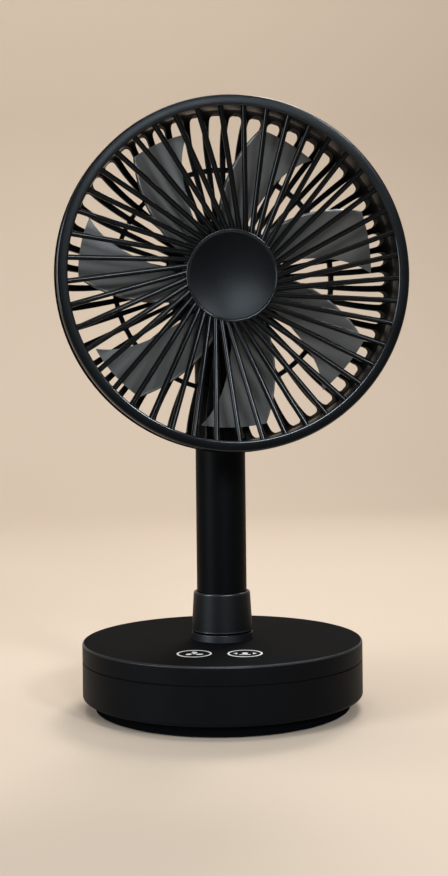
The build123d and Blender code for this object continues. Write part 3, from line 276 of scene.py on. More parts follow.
class StageSetup(PropertyGroup):
    """Camera, floor and ambient light"""

    sensor: number("Sensor", "Long side of the camera's frame, in mm", 36)
    lens: number("Lens", "Focal length, in mm", 54.115)
    near: length("Near", "Nearest distance that the camera sees", 0.01)
    distance: length("Distance", "Camera's distance from the mast's axis", 0.52)
    height: length("Height", "Camera's height", 0.123)
    azimuth: angle("Azimuth", "Camera's turn about the mast, from the front", -9.028)
    aim: angle("Aim", "How far right of the mast the camera looks", 0.186)
    roll: angle("Roll", "Camera's roll", -0.621)
    shift: number("Shift", "Camera's shift, in long sides of the frame", -0.0497)
    pale: colour("Pale", "Floor and backdrop", (0.59, 0.5, 0.41))
    pale_rough: share("Pale roughness", "Roughness of the floor and backdrop", 0.9)
    pale_shine: share("Pale shine", "Specular level of the floor and backdrop", 0.15)
    mottle: share("Mottle", "How far the floor's tone wanders to each side", 0.015)
    mottle_scale: number("Mottle scale", "Scale of the floor's wandering tone", 6)
    floor_half: length("Floor half", "Half the floor's width", 2.4)
    backdrop: length("Backdrop", "Distance of the backdrop behind the fan", 1.3)
    backdrop_height: length("Backdrop height", "Height of the backdrop", 2.2)
    backdrop_bend: length("Backdrop bend", "Radius of the bend between floor and backdrop", 0.5)
    sky: colour("Sky", "Ambient light", (1.0, 0.93, 0.85))
    sky_strength: share("Ambient", "Strength of the ambient light", 0.24)


# Finishes


def finish(name, base, roughness, metallic=0.0):
    """Start a material and give it with its node tree and its shader."""
    material = bpy.data.materials.new(name)
    material.use_nodes = True
    shader = material.node_tree.nodes["Principled BSDF"]
    shader.inputs["Base Color"].default_value = (*base, 1)
    shader.inputs["Roughness"].default_value = roughness
    shader.inputs["Metallic"].default_value = metallic
    return material, material.node_tree, shader


def place(tree, turn=0.0, stretch=(1, 1, 1)):
    """Give a vector on the piece's own coordinates, turned about Z and stretched."""
    where = tree.nodes.new("ShaderNodeTexCoord")
    mapping = tree.nodes.new("ShaderNodeMapping")
    mapping.inputs["Rotation"].default_value = (0, 0, turn)
    mapping.inputs["Scale"].default_value = stretch
    tree.links.new(where.outputs["Object"], mapping.inputs["Vector"])
    return mapping.outputs["Vector"]


def take_apart(tree, vector):
    """Give the X, Y and Z outputs of a vector."""
    node = tree.nodes.new("ShaderNodeSeparateXYZ")
    tree.links.new(vector, node.inputs["Vector"])
    return node.outputs


def noise(tree, vector, scale, detail=3.0, roughness=0.5):
    """Give a noise value on a vector."""
    node = tree.nodes.new("ShaderNodeTexNoise")
    node.inputs["Scale"].default_value = scale
    node.inputs["Detail"].default_value = detail
    node.inputs["Roughness"].default_value = roughness
    tree.links.new(vector, node.inputs["Vector"])
    return node.outputs["Fac"]


def spread(tree, value, low, high, start=0.3, end=0.7):
    """Map a value from start to end onto low to high."""
    node = tree.nodes.new("ShaderNodeMapRange")
    node.inputs["From Min"].default_value = start
    node.inputs["From Max"].default_value = end
    node.inputs["To Min"].default_value = low
    node.inputs["To Max"].default_value = high
    tree.links.new(value, node.inputs["Value"])
    return node.outputs["Result"]


def combine(tree, operation, first, second):
    """Give the result of a sum on two values."""
    node = tree.nodes.new("ShaderNodeMath")
    node.operation = operation
    tree.links.new(first, node.inputs[0])
    tree.links.new(second, node.inputs[1])
    return node.outputs["Value"]


def combine_vector(tree, operation, vector, other=(0, 0, 0)):
    """Give the outputs of a sum on a vector and a fixed one."""
    node = tree.nodes.new("ShaderNodeVectorMath")
    node.operation = operation
    node.inputs[1].default_value = other
    tree.links.new(vector, node.inputs[0])
    return node.outputs


def blend_colours(tree, value, low, high):
    """Give a colour between two, chosen by a value."""
    node = tree.nodes.new("ShaderNodeMix")
    node.data_type = "RGBA"
    node.inputs["A"].default_value = (*low, 1)
    node.inputs["B"].default_value = (*high, 1)
    tree.links.new(value, node.inputs["Factor"])
    return node.outputs["Result"]


def tinted(base, factor):
    """Scale a colour."""
    return tuple(min(1.0, part * factor) for part in base)


def mottled(tree, value, base, dark=1.0, light=1.0):
    """Give a colour between a darker and a lighter tint of one colour, chosen by a value."""
    return blend_colours(tree, value, tinted(base, dark), tinted(base, light))


def bump(tree, shader, height, strength, depth):
    """Raise the surface by a height value."""
    node = tree.nodes.new("ShaderNodeBump")
    node.inputs["Strength"].default_value = strength
    node.inputs["Distance"].default_value = depth
    tree.links.new(height, node.inputs["Height"])
    tree.links.new(node.outputs["Normal"], shader.inputs["Normal"])


def overlay(tree, shader, socket, mask, value):
    """Change a linked input of a shader to another value where a mask says so."""
    mix = tree.nodes.new("ShaderNodeMix")
    mix.data_type = "FLOAT" if isinstance(value, float) else "RGBA"
    mix.inputs["B"].default_value = value
    tree.links.new(shader.inputs[socket].links[0].from_socket, mix.inputs["A"])
    tree.links.new(mask, mix.inputs["Factor"])
    tree.links.new(mix.outputs["Result"], shader.inputs[socket])


def moulded(name, base, roughness, grain=5200, depth=0.000012, strength=0.35, shine=0.5):
    """Make a moulded plastic: a fine eroded grain, soft gloss patches and slight colour drift."""
    material, tree, shader = finish(name, base, roughness)
    shader.inputs["Specular IOR Level"].default_value = shine
    shader.inputs["Specular Tint"].default_value = SHEEN_TINT
    vector = place(tree)
    patches = noise(tree, vector, PATCH_SCALE, detail=4)
    gloss = spread(tree, patches, roughness - PATCH_GLOSS, roughness + PATCH_DULLING)
    tree.links.new(gloss, shader.inputs["Roughness"])
    drift = spread(tree, noise(tree, vector, DRIFT_SCALE, detail=2), 0, 1)
    tree.links.new(mottled(tree, drift, base, 1 - DRIFT, 1 + DRIFT), shader.inputs["Base Color"])
    bump(tree, shader, noise(tree, vector, grain, detail=2, roughness=0.6), strength, depth)
    return material


def dress_cover(material, tone, base):
    """Dull the base's top face and paint a highlight on the boss that stands on it."""
    tree = material.node_tree
    shader = tree.nodes["Principled BSDF"]
    height = take_apart(tree, place(tree))["Z"]
    above_wall = spread(tree, height, 0, 1, base.top - base.edge, base.top - base.edge / 2)
    below_boss = spread(tree, height, 1, 0, base.top + base.edge / 4, base.top + base.edge / 2)
    top_face = combine(tree, "MULTIPLY", above_wall, below_boss)
    overlay(tree, shader, "Roughness", top_face, tone.matte)
    # Painted highlight: the boss gets the lighter boss tone and turns metallic.
    boss = spread(tree, below_boss, 1, 0, 0, 1)
    overlay(tree, shader, "Base Color", boss, (*tone.boss, 1))
    tree.links.new(boss, shader.inputs["Metallic"])


def paint_rim_highlights(material, tone, edge, *rims):
    """Paint a highlight along round rims of a moulded plastic, each given by its radius and height: a
    lighter, metallic band that stands in for the gloss of the rounded edge.
    """
    tree = material.node_tree
    shader = tree.nodes["Principled BSDF"]
    where = place(tree)
    flat = combine_vector(tree, "MULTIPLY", where, (1, 1, 0))["Vector"]
    section = tree.nodes.new("ShaderNodeCombineXYZ")
    tree.links.new(combine_vector(tree, "LENGTH", flat)["Value"], section.inputs["X"])
    tree.links.new(take_apart(tree, where)["Z"], section.inputs["Z"])
    rim_highlight = None
    for radius, height in rims:
        gap = combine_vector(tree, "DISTANCE", section.outputs["Vector"], (radius, 0, height))["Value"]
        near = spread(tree, gap, 1, 0, edge / 2, edge)
        rim_highlight = near if rim_highlight is None else combine(tree, "MAXIMUM", rim_highlight, near)
    # Painted highlight: inside the mask the colour turns to the lighter edge tone and the surface turns
    # metallic.
    overlay(tree, shader, "Roughness", rim_highlight, tone.satin)
    overlay(tree, shader, "Base Color", rim_highlight, (*tone.edge, 1))
    for link in shader.inputs["Metallic"].links:
        rim_highlight = combine(tree, "MAXIMUM", link.from_socket, rim_highlight)
    tree.links.new(rim_highlight, shader.inputs["Metallic"])


def metal(name, base, roughness, stretch=(1, 1, 1), scale=900):
    """Make a metal with fine drawn or turned marks."""
    material, tree, shader = finish(name, base, roughness, metallic=1.0)
    marks = noise(tree, place(tree, stretch=stretch), scale, detail=4, roughness=0.65)
    gloss = spread(tree, marks, low=roughness - 0.06, high=roughness + 0.1)
    tree.links.new(gloss, shader.inputs["Roughness"])
    tree.links.new(mottled(tree, marks, base, dark=0.82, light=1.12), shader.inputs["Base Color"])
    bump(tree, shader, marks, strength=0.2, depth=0.00001)
    return material


def wound_copper(base):
    """Make enamelled wire: close turns that show as fine ridges, with painted shade darkening the grooves
    between them.
    """
    material, tree, shader = finish("wound_copper", base, roughness=0.32, metallic=1.0)
    wave = tree.nodes.new("ShaderNodeTexWave")
    wave.inputs["Scale"].default_value = 900
    wave.inputs["Distortion"].default_value = 0.6
    tree.links.new(place(tree), wave.inputs["Vector"])
    turns = wave.outputs["Fac"]
    # Painted shade: the colour darkens to under half where the wave, and so the bump, is low.
    tree.links.new(mottled(tree, turns, base, dark=0.45), shader.inputs["Base Color"])
    bump(tree, shader, turns, strength=0.6, depth=0.00008)
    return material


def circuit_board(base):
    """Make a solder mask with paler tracks under it."""
    material, tree, shader = finish("circuit_board", base, roughness=0.35)
    vector = place(tree)
    tracks = tree.nodes.new("ShaderNodeTexBrick")
    tracks.inputs["Scale"].default_value = 260
    tracks.inputs["Mortar Size"].default_value = 0.06
    for socket, factor in (("Color1", 1.0), ("Color2", 0.75), ("Mortar", 2.2)):
        tracks.inputs[socket].default_value = (*tinted(base, factor), 1)
    tree.links.new(vector, tracks.inputs["Vector"])
    tree.links.new(tracks.outputs["Color"], shader.inputs["Base Color"])
    gloss = spread(tree, noise(tree, vector, scale=300), low=0.28, high=0.42)
    tree.links.new(gloss, shader.inputs["Roughness"])
    bump(tree, shader, tracks.outputs["Fac"], strength=0.3, depth=0.00003)
    return material


def inlet_finish(steel, black, sizes, turn):
    """Make the inlet's plated shell, with its black tongue told apart by place."""
    material, tree, shader = finish("inlet_shell", steel, roughness=0.28, metallic=1.0)
    vector = place(tree, turn=-turn)
    where = take_apart(tree, vector)
    walls = (("X", 0, sizes.tongue_width), ("Z", sizes.height, sizes.tongue))
    masks = []
    for axis, middle, width in walls:
        compare = tree.nodes.new("ShaderNodeMath")
        compare.operation = "COMPARE"
        compare.inputs[1].default_value = middle
        compare.inputs[2].default_value = width / 2 + sizes.margin
        tree.links.new(where[axis], compare.inputs[0])
        masks.append(compare.outputs["Value"])
    tongue = combine(tree, "MULTIPLY", *masks)
    tree.links.new(blend_colours(tree, tongue, steel, black), shader.inputs["Base Color"])
    tree.links.new(spread(tree, tongue, 1, 0, 0, 1), shader.inputs["Metallic"])
    gloss = spread(tree, noise(tree, vector, scale=1500), low=0.24, high=0.4)
    tree.links.new(gloss, shader.inputs["Roughness"])
    return material


def printed(base):
    """Make screen-printed ink with slightly uneven cover."""
    material, tree, shader = finish("printed_ink", base, roughness=0.5)
    cover = noise(tree, place(tree), scale=4200, detail=3, roughness=0.6)
    tree.links.new(mottled(tree, cover, base, dark=0.86), shader.inputs["Base Color"])
    bump(tree, shader, cover, strength=0.15, depth=0.00001)
    return material


def film_wrap(base):
    """Make the battery's shrink film, with a soft crinkle."""
    material, tree, shader = finish("film_wrap", base, roughness=0.25)
    crinkle = noise(tree, place(tree), scale=160, detail=5, roughness=0.6)
    tree.links.new(mottled(tree, crinkle, base, dark=0.8, light=1.15), shader.inputs["Base Color"])
    tree.links.new(spread(tree, crinkle, low=0.2, high=0.34), shader.inputs["Roughness"])
    bump(tree, shader, crinkle, strength=0.4, depth=0.0003)
    return material


def wear(material, *names):
    """Give a finish to CAD nodes."""
    for name in names:
        NODES[name].data.materials.clear()
        NODES[name].data.materials.append(material)


# Shapes


def head_frame(pivot_height):
    """Give the head's frame: X to the right, Y up and Z forward, on the tilt axis."""
    return Matrix.Translation((0, 0, pivot_height)) @ Matrix.Rotation(QUARTER_TURN, 4, "X")


def to_mesh(name, bm):
    """Turn a bmesh into a smooth mesh."""
    mesh = bpy.data.meshes.new(name)
    bm.to_mesh(mesh)
    bm.free()
    mesh.polygons.foreach_set("use_smooth", [True] * len(mesh.polygons))
    return mesh


def to_object(name, data):
    """Put a mesh, a light or a camera into the scene."""
    item = bpy.data.objects.new(name, data)
    bpy.context.scene.collection.objects.link(item)
    return item


def make_piece(name, bm, material, body, bend=PIECE_BEND):
    """Turn a bmesh into a piece that rides on a body."""
    bmesh.ops.recalc_face_normals(bm, faces=bm.faces)
    mesh = to_mesh(name, bm)
    mesh.set_sharp_from_angle(angle=bend)
    mesh.materials.append(material)
    piece = to_object(name, mesh)
    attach(piece, body)
    return piece


def join(bm, other):
    """Move all of a second bmesh into the first."""
    part = to_mesh("part", other)
    bm.from_mesh(part)
    bpy.data.meshes.remove(part)


def new_verts(result):
    """Pick the vertices out of an extrusion's result."""
    return [item for item in result["geom"] if isinstance(item, bmesh.types.BMVert)]


def raise_face(bm, face, move):
    """Extrude a face by a vector and give the vertices at its far end."""
    tip = new_verts(bmesh.ops.extrude_face_region(bm, geom=[face]))
    bmesh.ops.translate(bm, verts=tip, vec=move)
    return tip


def spin_profile(bm, points, steps):
    """Turn a closed outline of radius and level about Z."""
    verts = [bm.verts.new((radius, 0, level)) for radius, level in points]
    edges = [bm.edges.new((verts[i - 1], verts[i])) for i in range(len(verts))]
    bmesh.ops.spin(
        bm, geom=verts + edges, cent=(0, 0, 0), axis=(0, 0, 1), dvec=(0, 0, 0),
        angle=FULL_TURN, steps=steps, use_merge=True, use_duplicate=False,
    )
    bmesh.ops.remove_doubles(bm, verts=bm.verts, dist=WELD)


def round_edges(bm, edges, radius, segments):
    """Round edges and give the new faces."""
    made = bmesh.ops.bevel(
        bm, geom=edges, offset=radius, offset_type="OFFSET", segments=segments, profile=0.5,
        affect="EDGES", material=-1, clamp_overlap=True,
    )
    return made["faces"]


def round_rims(bm, places, radius):
    """Round the circular edges at these radii and levels, and mark them for their own finish."""
    picked = []
    for edge in bm.edges:
        ends = [(math.hypot(v.co.x, v.co.y), v.co.z) for v in edge.verts]
        for ring_radius, level in places:
            if all(abs(r - ring_radius) < REACH and abs(z - level) < REACH for r, z in ends):
                picked.append(edge)
    for face in round_edges(bm, picked, radius, RIM_SEGMENTS):
        face.material_index = RIM_SLOT


def add_rod(bm, start, end, across, width, depth, sides):
    """Add one capped rod of oval section between two points."""
    along = (end - start).normalized()
    wide = (across - along * across.dot(along)).normalized()
    deep = along.cross(wide)
    place_at = Matrix((
        (wide.x * width / 2, deep.x * depth / 2, along.x, start.x),
        (wide.y * width / 2, deep.y * depth / 2, along.y, start.y),
        (wide.z * width / 2, deep.z * depth / 2, along.z, start.z),
        (0, 0, 0, 1),
    ))
    made = bmesh.ops.create_circle(bm, cap_ends=True, segments=sides, radius=1, matrix=place_at)
    for vert in raise_face(bm, made["verts"][0].link_faces[0], end - start):
        for face in vert.link_faces:
            face.material_index = ROD_SLOT


def flat_shape(bm, points, thickness):
    """Add a flat outline and raise it to a thin solid."""
    face = bm.faces.new([bm.verts.new((x, y, 0)) for x, y in points])
    raise_face(bm, face, (0, 0, thickness))


def oval_shape(bm, middle, half_wide, half_long, turn, thickness):
    """Add an oval outline and raise it to a thin solid."""
    shape = Matrix.Rotation(turn, 4, "Z") @ Matrix.Diagonal((half_wide, half_long, 1, 1))
    place_at = Matrix.Translation((*middle, 0)) @ shape
    made = bmesh.ops.create_circle(bm, cap_ends=True, segments=OVAL_SIDES, radius=1, matrix=place_at)
    raise_face(bm, made["verts"][0].link_faces[0], (0, 0, thickness))


# Operators


class FAN_OT_finishes(Operator):
    """Give every CAD node its finish"""

    bl_idname = "fan.finishes"
    bl_label = "Finishes"

    def execute(self, context):
        tone = context.scene.fan_finishes
        self.blacks(tone, context.scene.fan_base)
        self.plastics(tone)
        self.metals(tone)
        wear(circuit_board(tone.board), "main_circuit_board", "touch_board", "motor_board")
        wear(film_wrap(tone.cell), "battery_pack")
        inlet = context.scene.fan_inlet
        wear(inlet_finish(tone.steel, tone.black, inlet, context.scene.fan_prints.turn), "charging_inlet")
        return {"FINISHED"}

    def blacks(self, tone, base):
        """Finish the black mouldings of the guard, the hinge, the collar and the base."""
        satin = moulded("satin_black", tone.black, tone.satin, shine=tone.satin_shine)
        wear(satin, "front_grille", "hub_cap")
        hinge = moulded("hinge_black", tone.black, tone.wall, shine=tone.collar_shine)
        wear(hinge, "tilt_yoke", "motor_housing")
        collar = moulded("collar_black", tone.black, tone.wall, shine=tone.collar_shine)
        collar_top = (base.collar_top_radius, base.collar_top)
        collar_foot = (base.collar_foot_radius, base.collar_foot)
        # Painted highlights along the collar's two rims.
        paint_rim_highlights(collar, tone, base.edge, collar_top, collar_foot)
        wear(collar, "swivel_collar")
        moulded("rod_black", tone.black, tone.rod, strength=0.05, shine=tone.rod_shine)
        moulded("rim_black", tone.black, tone.rim, strength=0.05, shine=tone.rim_shine)
        matte = moulded("matte_black", tone.black, tone.matte, shine=0)
        wear(matte, "bottom_plate", "thrust_washer")
        grille = moulded("grille_black", tone.black, tone.wall, shine=tone.grille_shine)
        wear(grille, "rear_grille")
        wall = moulded("base_black", tone.base_black, tone.wall, shine=tone.base_shine)
        wear(wall, "lower_shell")
        cover = moulded("cover_black", tone.base_black, tone.wall, shine=tone.base_shine)
        dress_cover(cover, tone, base)
        # Painted highlight along the base's top rim.
        paint_rim_highlights(cover, tone, base.edge, (base.radius, base.top))
        wear(cover, "top_cover")

    def plastics(self, tone):
        """Finish the mast's coating, the blades, the rubber and the other mouldings."""
        coat = moulded(
            "coated_tube", tone.tube, tone.coat, grain=2600, depth=0.00001, strength=0.15,
            shine=tone.coat_shine,
        )
        wear(coat, "mast_tube")
        blade = moulded("matte_grey", tone.grey, tone.blade, grain=3800, depth=0.000014, strength=0.2)
        wear(blade, "fan_blades")
        rubber = moulded("rubber", tone.rubber, roughness=0.8, grain=1800, depth=0.00003, strength=0.5)
        wear(rubber, "anti_slip_pad", "mast_cable")
        magnet = moulded(
            "bonded_magnet", tone.magnet, roughness=0.55, grain=1500, depth=0.00003, strength=0.4
        )
        wear(magnet, "magnet_ring")
        acetal = moulded("white_acetal", tone.acetal, roughness=0.4)
        wear(acetal, "swing_pinion", "swing_gear", "friction_washers")

    def metals(self, tone):
        """Finish the steel, bronze and copper pieces."""
        wear(
            metal("plated_steel", tone.steel, roughness=0.3),
            "case_screws", "board_screws", "swing_motor_screws", "spindle", "spindle_circlip",
            "tilt_screw", "tilt_nut", "housing_screws", "rear_bearing", "front_bearing",
            "bearing_spacer", "rotor_can", "motor_shaft", "blade_nut", "swing_motor", "ballast_plate",
        )
        core = metal("laminations", tone.core, roughness=0.4, stretch=(1, 6, 1), scale=500)
        wear(core, "stator_core")
        bronze = metal("sintered_bronze", tone.bronze, roughness=0.45, scale=2400)
        wear(bronze, "upper_swivel_bush", "lower_swivel_bush")
        wear(wound_copper(tone.copper), "stator_coils")
        wear(metal("etched_copper", tone.copper, roughness=0.35), "touch_electrodes")


class FAN_OT_front_guard(Operator):
    """Model the ring, hub and swirled rods of the front guard"""

    bl_idname = "fan.front_guard"
    bl_label = "Front guard"

    def execute(self, context):
        size = context.scene.fan_guard
        bm = bmesh.new()
        self.ring(bm, size)
        self.hub(bm, size)
        self.rods(bm, size)
        bmesh.ops.transform(bm, matrix=head_frame(size.pivot_height), verts=bm.verts)
        guard = make_piece("front_guard", bm, bpy.data.materials["satin_black"], "head")
        guard.data.materials.append(bpy.data.materials["rod_black"])
        guard.data.materials.append(bpy.data.materials["rim_black"])
        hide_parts("front_grille")
        return {"FINISHED"}

    def ring(self, bm, size):
        """Turn the ring, with the channel for the rear grille between its skirts."""
        inner_skirt = size.ring_bore + size.skirt
        outer_bore = size.ring_radius - size.skirt
        web = size.front - size.flange
        spin_profile(bm, (
            (size.ring_bore, size.front), (size.ring_radius, size.front),
            (size.ring_radius, size.ring_back), (outer_bore, size.ring_back),
            (outer_bore, web), (inner_skirt, web),
            (inner_skirt, size.skirt_back), (size.ring_bore, size.skirt_back),
        ), RING_STEPS)
        round_rims(bm, ((size.ring_bore, size.front), (size.ring_radius, size.front)), size.ring_edge)

    def hub(self, bm, size):
        """Turn the hub, with the seat of the cap inside its lip."""
        hub = bmesh.new()
        lip = size.hub_radius - size.hub_rim
        spin_profile(hub, (
            (0, size.hub_back), (size.hub_radius, size.hub_back), (size.hub_radius, size.hub_face),
            (lip, size.hub_face), (lip, size.hub_floor), (0, size.hub_floor),
        ), HUB_STEPS)
        round_rims(hub, ((size.hub_radius, size.hub_face), (lip, size.hub_face)), size.hub_edge)
        join(bm, hub)

    def rods(self, bm, size):
        """Set the skewed rods from the hub's wall to the ring's."""
        inner = size.hub_radius - size.hub_rim / 2
        outer = size.ring_bore + size.skirt / 2
        inner_run = math.sqrt(inner**2 - size.rod_skew**2)
        outer_run = math.sqrt(outer**2 - size.rod_skew**2)
        inner_level = (size.hub_back + size.hub_face) / 2
        outer_level = size.front - size.rod_sink - size.rod_depth / 2
        for index in range(size.rod_count):
            turn = size.rod_turn + index * FULL_TURN / size.rod_count
            along = Vector((math.cos(turn), math.sin(turn), 0))
            aside = Vector((math.sin(turn), -math.cos(turn), 0))
            start = along * inner_run + aside * size.rod_skew + Vector((0, 0, inner_level))
            end = along * outer_run + aside * size.rod_skew + Vector((0, 0, outer_level))
            add_rod(bm, start, end, aside, size.rod_width, size.rod_depth, size.rod_sides)


class FAN_OT_dished_cap(Operator):
    """Model the dished cap in the middle of the guard"""

    bl_idname = "fan.dished_cap"
    bl_label = "Dished cap"

    def execute(self, context):
        size = context.scene.fan_guard
        radius = size.hub_radius - size.hub_rim - size.cap_gap
        front = size.hub_face - size.cap_sink
        edge = radius - size.cap_land
        bend = (edge**2 + size.cap_dish**2) / (2 * size.cap_dish)
        half = math.asin(edge / bend)
        outline = []
        for step in range(DISH_STEPS + 1):
            turn = half * step / DISH_STEPS
            outline.append((bend * math.sin(turn), front - size.cap_dish + bend * (1 - math.cos(turn))))
        outline += [(radius, front), (radius, size.hub_floor), (0, size.hub_floor)]
        bm = bmesh.new()
        spin_profile(bm, outline, CAP_STEPS)
        bmesh.ops.transform(bm, matrix=head_frame(size.pivot_height), verts=bm.verts)
        cap = make_piece("dished_cap", bm, bpy.data.materials["satin_black"], "head", CAP_BEND)
        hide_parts("hub_cap")
        return {"FINISHED"}


class FAN_OT_touch_marks(Operator):
    """Print the two touch marks on the base"""

    bl_idname = "fan.touch_marks"
    bl_label = "Touch marks"

    def execute(self, context):
        size = context.scene.fan_prints
        inner = size.radius - size.line
        ring = ((inner, 0), (size.radius, 0), (size.radius, size.ink), (inner, size.ink))
        bm = bmesh.new()
        for side, draw_symbol in ((-1, self.fan_symbol), (1, self.swing_symbol)):
            mark = bmesh.new()
            spin_profile(mark, ring, MARK_STEPS)
            draw_symbol(mark, size)
            spot = (side * size.spacing / 2, -size.reach, context.scene.fan_base.top)
            bmesh.ops.transform(mark, matrix=Matrix.Translation(spot), verts=mark.verts)
            join(bm, mark)
        bmesh.ops.transform(bm, matrix=Matrix.Rotation(size.turn, 4, "Z"), verts=bm.verts)
        marks = make_piece("touch_marks", bm, printed(context.scene.fan_finishes.ink), "base")
        return {"FINISHED"}

    def fan_symbol(self, bm, size):
        """Draw swept petals around a dot."""
        oval_shape(bm, (0, 0), size.dot, size.dot, 0, size.ink)
        for index in range(size.petals):
            turn = index * FULL_TURN / size.petals
            middle = (-size.petal_reach * math.sin(turn), size.petal_reach * math.cos(turn))
            lean = turn + size.petal_lean
            oval_shape(bm, middle, size.petal_wide, size.petal_long, lean, size.ink)

    def swing_symbol(self, bm, size):
        """Draw a head over a bar, between two arrows that point to its sides."""
        oval_shape(bm, (0, size.head_rise), size.head_wide, size.head_long, 0, size.ink)
        for side in (-1, 1):
            tip, tail, half = side * size.arrow_tip, side * size.arrow_tail, size.arrow_half
            flat_shape(bm, ((tip, 0), (tail, half), (tail, -half)), size.ink)
        half, low, high = size.bar_half, -size.bar_drop, size.line - size.bar_drop
        flat_shape(bm, ((-half, low), (half, low), (half, high), (-half, high)), size.ink)


class FAN_OT_housing_screws(Operator):
    """Model the cross-recessed screws behind the motor housing"""

    bl_idname = "fan.housing_screws"
    bl_label = "Housing screws"

    def execute(self, context):
        size = context.scene.fan_screws
        head = head_frame(context.scene.fan_guard.pivot_height)
        screw = self.cut_screw(context, size)
        bm = bmesh.new()
        for index in range(size.count):
            turn = size.turn + index * FULL_TURN / size.count
            spot = (size.circle * math.cos(turn), size.circle * math.sin(turn), size.seat)
            twist = Matrix.Rotation(turn * size.twist, 4, "Z")
            one = bmesh.new()
            one.from_mesh(screw)
            bmesh.ops.transform(one, matrix=head @ Matrix.Translation(spot) @ twist, verts=one.verts)
            join(bm, one)
        steel = bpy.data.materials["plated_steel"]
        screws = make_piece("housing_screw_set", bm, steel, "head", SCREW_BEND)
        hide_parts("housing_screws")
        return {"FINISHED"}

    def cut_screw(self, context, size):
        """Give the mesh of one screw, with its recess cut by helpers that are taken away again."""
        screw = bmesh.new()
        spin_profile(screw, (
            (0, 0), (size.flat_radius, 0), (size.head_radius, size.flat_rise),
            (size.head_radius, size.head_height), (size.shank_radius, size.head_height),
            (size.shank_radius, size.shank_length), (0, size.shank_length),
        ), SCREW_STEPS)
        bmesh.ops.recalc_face_normals(screw, faces=screw.faces)
        body = to_object("screw_body", to_mesh("screw_body", screw))
        helpers = [body]
        box = Matrix.Diagonal((size.recess_span, size.recess_width, 2 * size.recess_depth, 1))
        for turn in (0, QUARTER_TURN):
            bar = bmesh.new()
            bmesh.ops.create_cube(bar, size=1, matrix=Matrix.Rotation(turn, 4, "Z") @ box)
            cutter = to_object("screw_cutter", to_mesh("screw_cutter", bar))
            helpers.append(cutter)
            cut = body.modifiers.new("recess", "BOOLEAN")
            cut.operation = "DIFFERENCE"
            cut.object = cutter
        graph = context.evaluated_depsgraph_get()
        mesh = bpy.data.meshes.new_from_object(body.evaluated_get(graph))
        for item in helpers:
            bpy.data.objects.remove(item)
        return mesh


class FAN_OT_inlet_contacts(Operator):
    """Lay the gold contacts on both sides of the inlet's tongue"""

    bl_idname = "fan.inlet_contacts"
    bl_label = "Inlet contacts"

    def execute(self, context):
        size = context.scene.fan_inlet
        box = Matrix.Diagonal((size.width, size.run, size.plating, 1))
        bm = bmesh.new()
        for side in (-1, 1):
            level = size.height + side * (size.tongue + size.plating) / 2
            for index in range(size.count):
                across = (index - (size.count - 1) / 2) * size.pitch
                spot = Matrix.Translation((across, size.start + size.run / 2, level))
                bmesh.ops.create_cube(bm, size=1, matrix=spot @ box)
        turn = Matrix.Rotation(context.scene.fan_prints.turn, 4, "Z")
        bmesh.ops.transform(bm, matrix=turn, verts=bm.verts)
        gold = metal("plated_gold", context.scene.fan_finishes.gold, roughness=0.25)
        contacts = make_piece("inlet_contacts", bm, gold, "base")
        return {"FINISHED"}


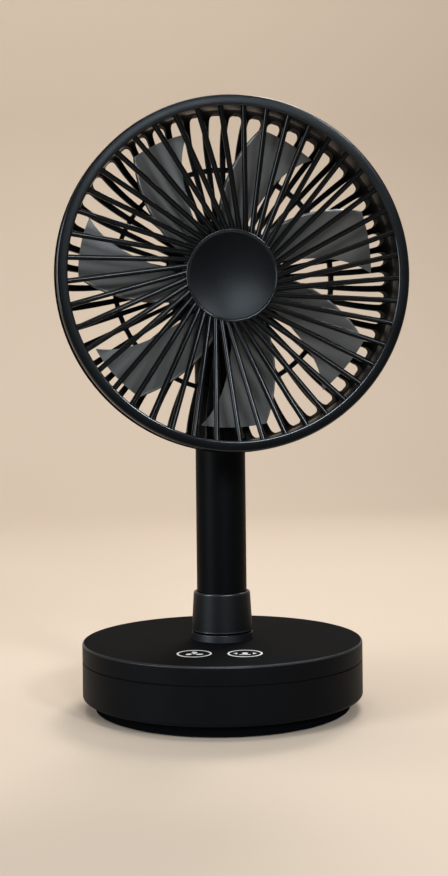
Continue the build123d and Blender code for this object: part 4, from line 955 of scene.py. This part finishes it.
class FAN_OT_stage(Operator):
    """Set the floor, the lamps and the camera"""

    bl_idname = "fan.stage"
    bl_label = "Stage"

    def execute(self, context):
        setup = context.scene.fan_stage
        self.floor(setup)
        self.lamps()
        self.sky(context, setup)
        self.camera(context, setup)
        context.scene.view_settings.view_transform = "Standard"
        return {"FINISHED"}

    def floor(self, setup):
        """Lay a pale floor that bends up into a backdrop."""
        half, back = setup.floor_half, setup.backdrop
        points = ((-half, 0), (back, 0), (back, setup.backdrop_height))
        bm = bmesh.new()
        verts = [bm.verts.new((-half, y, z)) for y, z in points]
        edges = [bm.edges.new((verts[i], verts[i + 1])) for i in range(len(verts) - 1)]
        moved = new_verts(bmesh.ops.extrude_edge_only(bm, edges=edges))
        bmesh.ops.translate(bm, verts=moved, vec=(2 * half, 0, 0))
        fold = [e for e in bm.edges if all(math.hypot(v.co.y - back, v.co.z) < REACH for v in e.verts)]
        round_edges(bm, fold, setup.backdrop_bend, FOLD_SEGMENTS)
        material, tree, shader = finish("pale_floor", setup.pale, setup.pale_rough)
        shader.inputs["Specular IOR Level"].default_value = setup.pale_shine
        wander = noise(tree, place(tree), setup.mottle_scale)
        tone = mottled(tree, wander, setup.pale, 1 - setup.mottle, 1 + setup.mottle)
        tree.links.new(tone, shader.inputs["Base Color"])
        mesh = to_mesh("studio_floor", bm)
        mesh.materials.append(material)
        floor = to_object("studio_floor", mesh)

    def lamps(self):
        """Hang two lamps above the camera and one each on the left, overhead, at the backdrop and behind."""
        for plan in LAMPS:
            light = bpy.data.lights.new(plan.name, "AREA")
            light.shape = "RECTANGLE"
            light.size = plan.wide
            light.size_y = plan.high
            light.spread = math.radians(plan.beam)
            light.energy = plan.power
            light.color = plan.tone
            lamp = to_object(plan.name, light)
            lamp.visible_camera = False
            lamp.location = plan.where
            beam = Vector(plan.target) - Vector(plan.where)
            lamp.rotation_euler = beam.to_track_quat("-Z", "Y").to_euler()

    def sky(self, context, setup):
        """Fill the shadows with a little ambient light."""
        world = bpy.data.worlds.new("studio_air")
        world.use_nodes = True
        air = world.node_tree.nodes["Background"]
        air.inputs["Color"].default_value = (*setup.sky, 1)
        air.inputs["Strength"].default_value = setup.sky_strength
        context.scene.world = world

    def camera(self, context, setup):
        """Stand the camera where the photograph was taken from."""
        data = bpy.data.cameras.new("photo_camera")
        data.sensor_width = setup.sensor
        data.lens = setup.lens
        data.shift_y = setup.shift
        data.clip_start = setup.near
        camera = to_object("photo_camera", data)
        back = Vector((math.sin(setup.azimuth), -math.cos(setup.azimuth), 0))
        spot = Matrix.Translation(back * setup.distance + Vector((0, 0, setup.height)))
        heading = Matrix.Rotation(setup.azimuth - setup.aim, 4, "Z")
        level = Matrix.Rotation(QUARTER_TURN, 4, "X") @ Matrix.Rotation(setup.roll, 4, "Z")
        camera.matrix_world = spot @ heading @ level
        context.scene.camera = camera


STEPS = (
    FAN_OT_finishes,
    FAN_OT_front_guard,
    FAN_OT_dished_cap,
    FAN_OT_touch_marks,
    FAN_OT_housing_screws,
    FAN_OT_inlet_contacts,
    FAN_OT_stage,
)
GROUPS = {
    "fan_finishes": FanFinishes,
    "fan_guard": GuardSizes,
    "fan_base": BaseSizes,
    "fan_prints": PrintSizes,
    "fan_screws": ScrewSizes,
    "fan_inlet": InletSizes,
    "fan_stage": StageSetup,
}


class FAN_PT_sidebar(Panel):
    """List the fan's steps and settings"""

    bl_label = "Table fan"
    bl_idname = "FAN_PT_sidebar"
    bl_space_type = "VIEW_3D"
    bl_region_type = "UI"
    bl_category = "Fan"

    def draw(self, context):
        for step in STEPS:
            self.layout.operator(step.bl_idname)
        for group in GROUPS:
            settings = getattr(context.scene, group)
            box = self.layout.box()
            for name in settings.__annotations__:
                box.prop(settings, name)


CLASSES = (*GROUPS.values(), *STEPS, FAN_PT_sidebar)


def register():
    """Register the classes and hang the settings on the scene."""
    for item in CLASSES:
        bpy.utils.register_class(item)
    for name, group in GROUPS.items():
        setattr(bpy.types.Scene, name, PointerProperty(type=group))


def unregister():
    """Take the settings and the classes away again."""
    for name in GROUPS:
        delattr(bpy.types.Scene, name)
    for item in reversed(CLASSES):
        bpy.utils.unregister_class(item)


def main():
    """Dress the fan."""
    register()
    bpy.ops.fan.finishes()
    bpy.ops.fan.front_guard()
    bpy.ops.fan.dished_cap()
    bpy.ops.fan.touch_marks()
    bpy.ops.fan.housing_screws()
    bpy.ops.fan.inlet_contacts()
    bpy.ops.fan.stage()


if __name__ == "__main__":
    main()
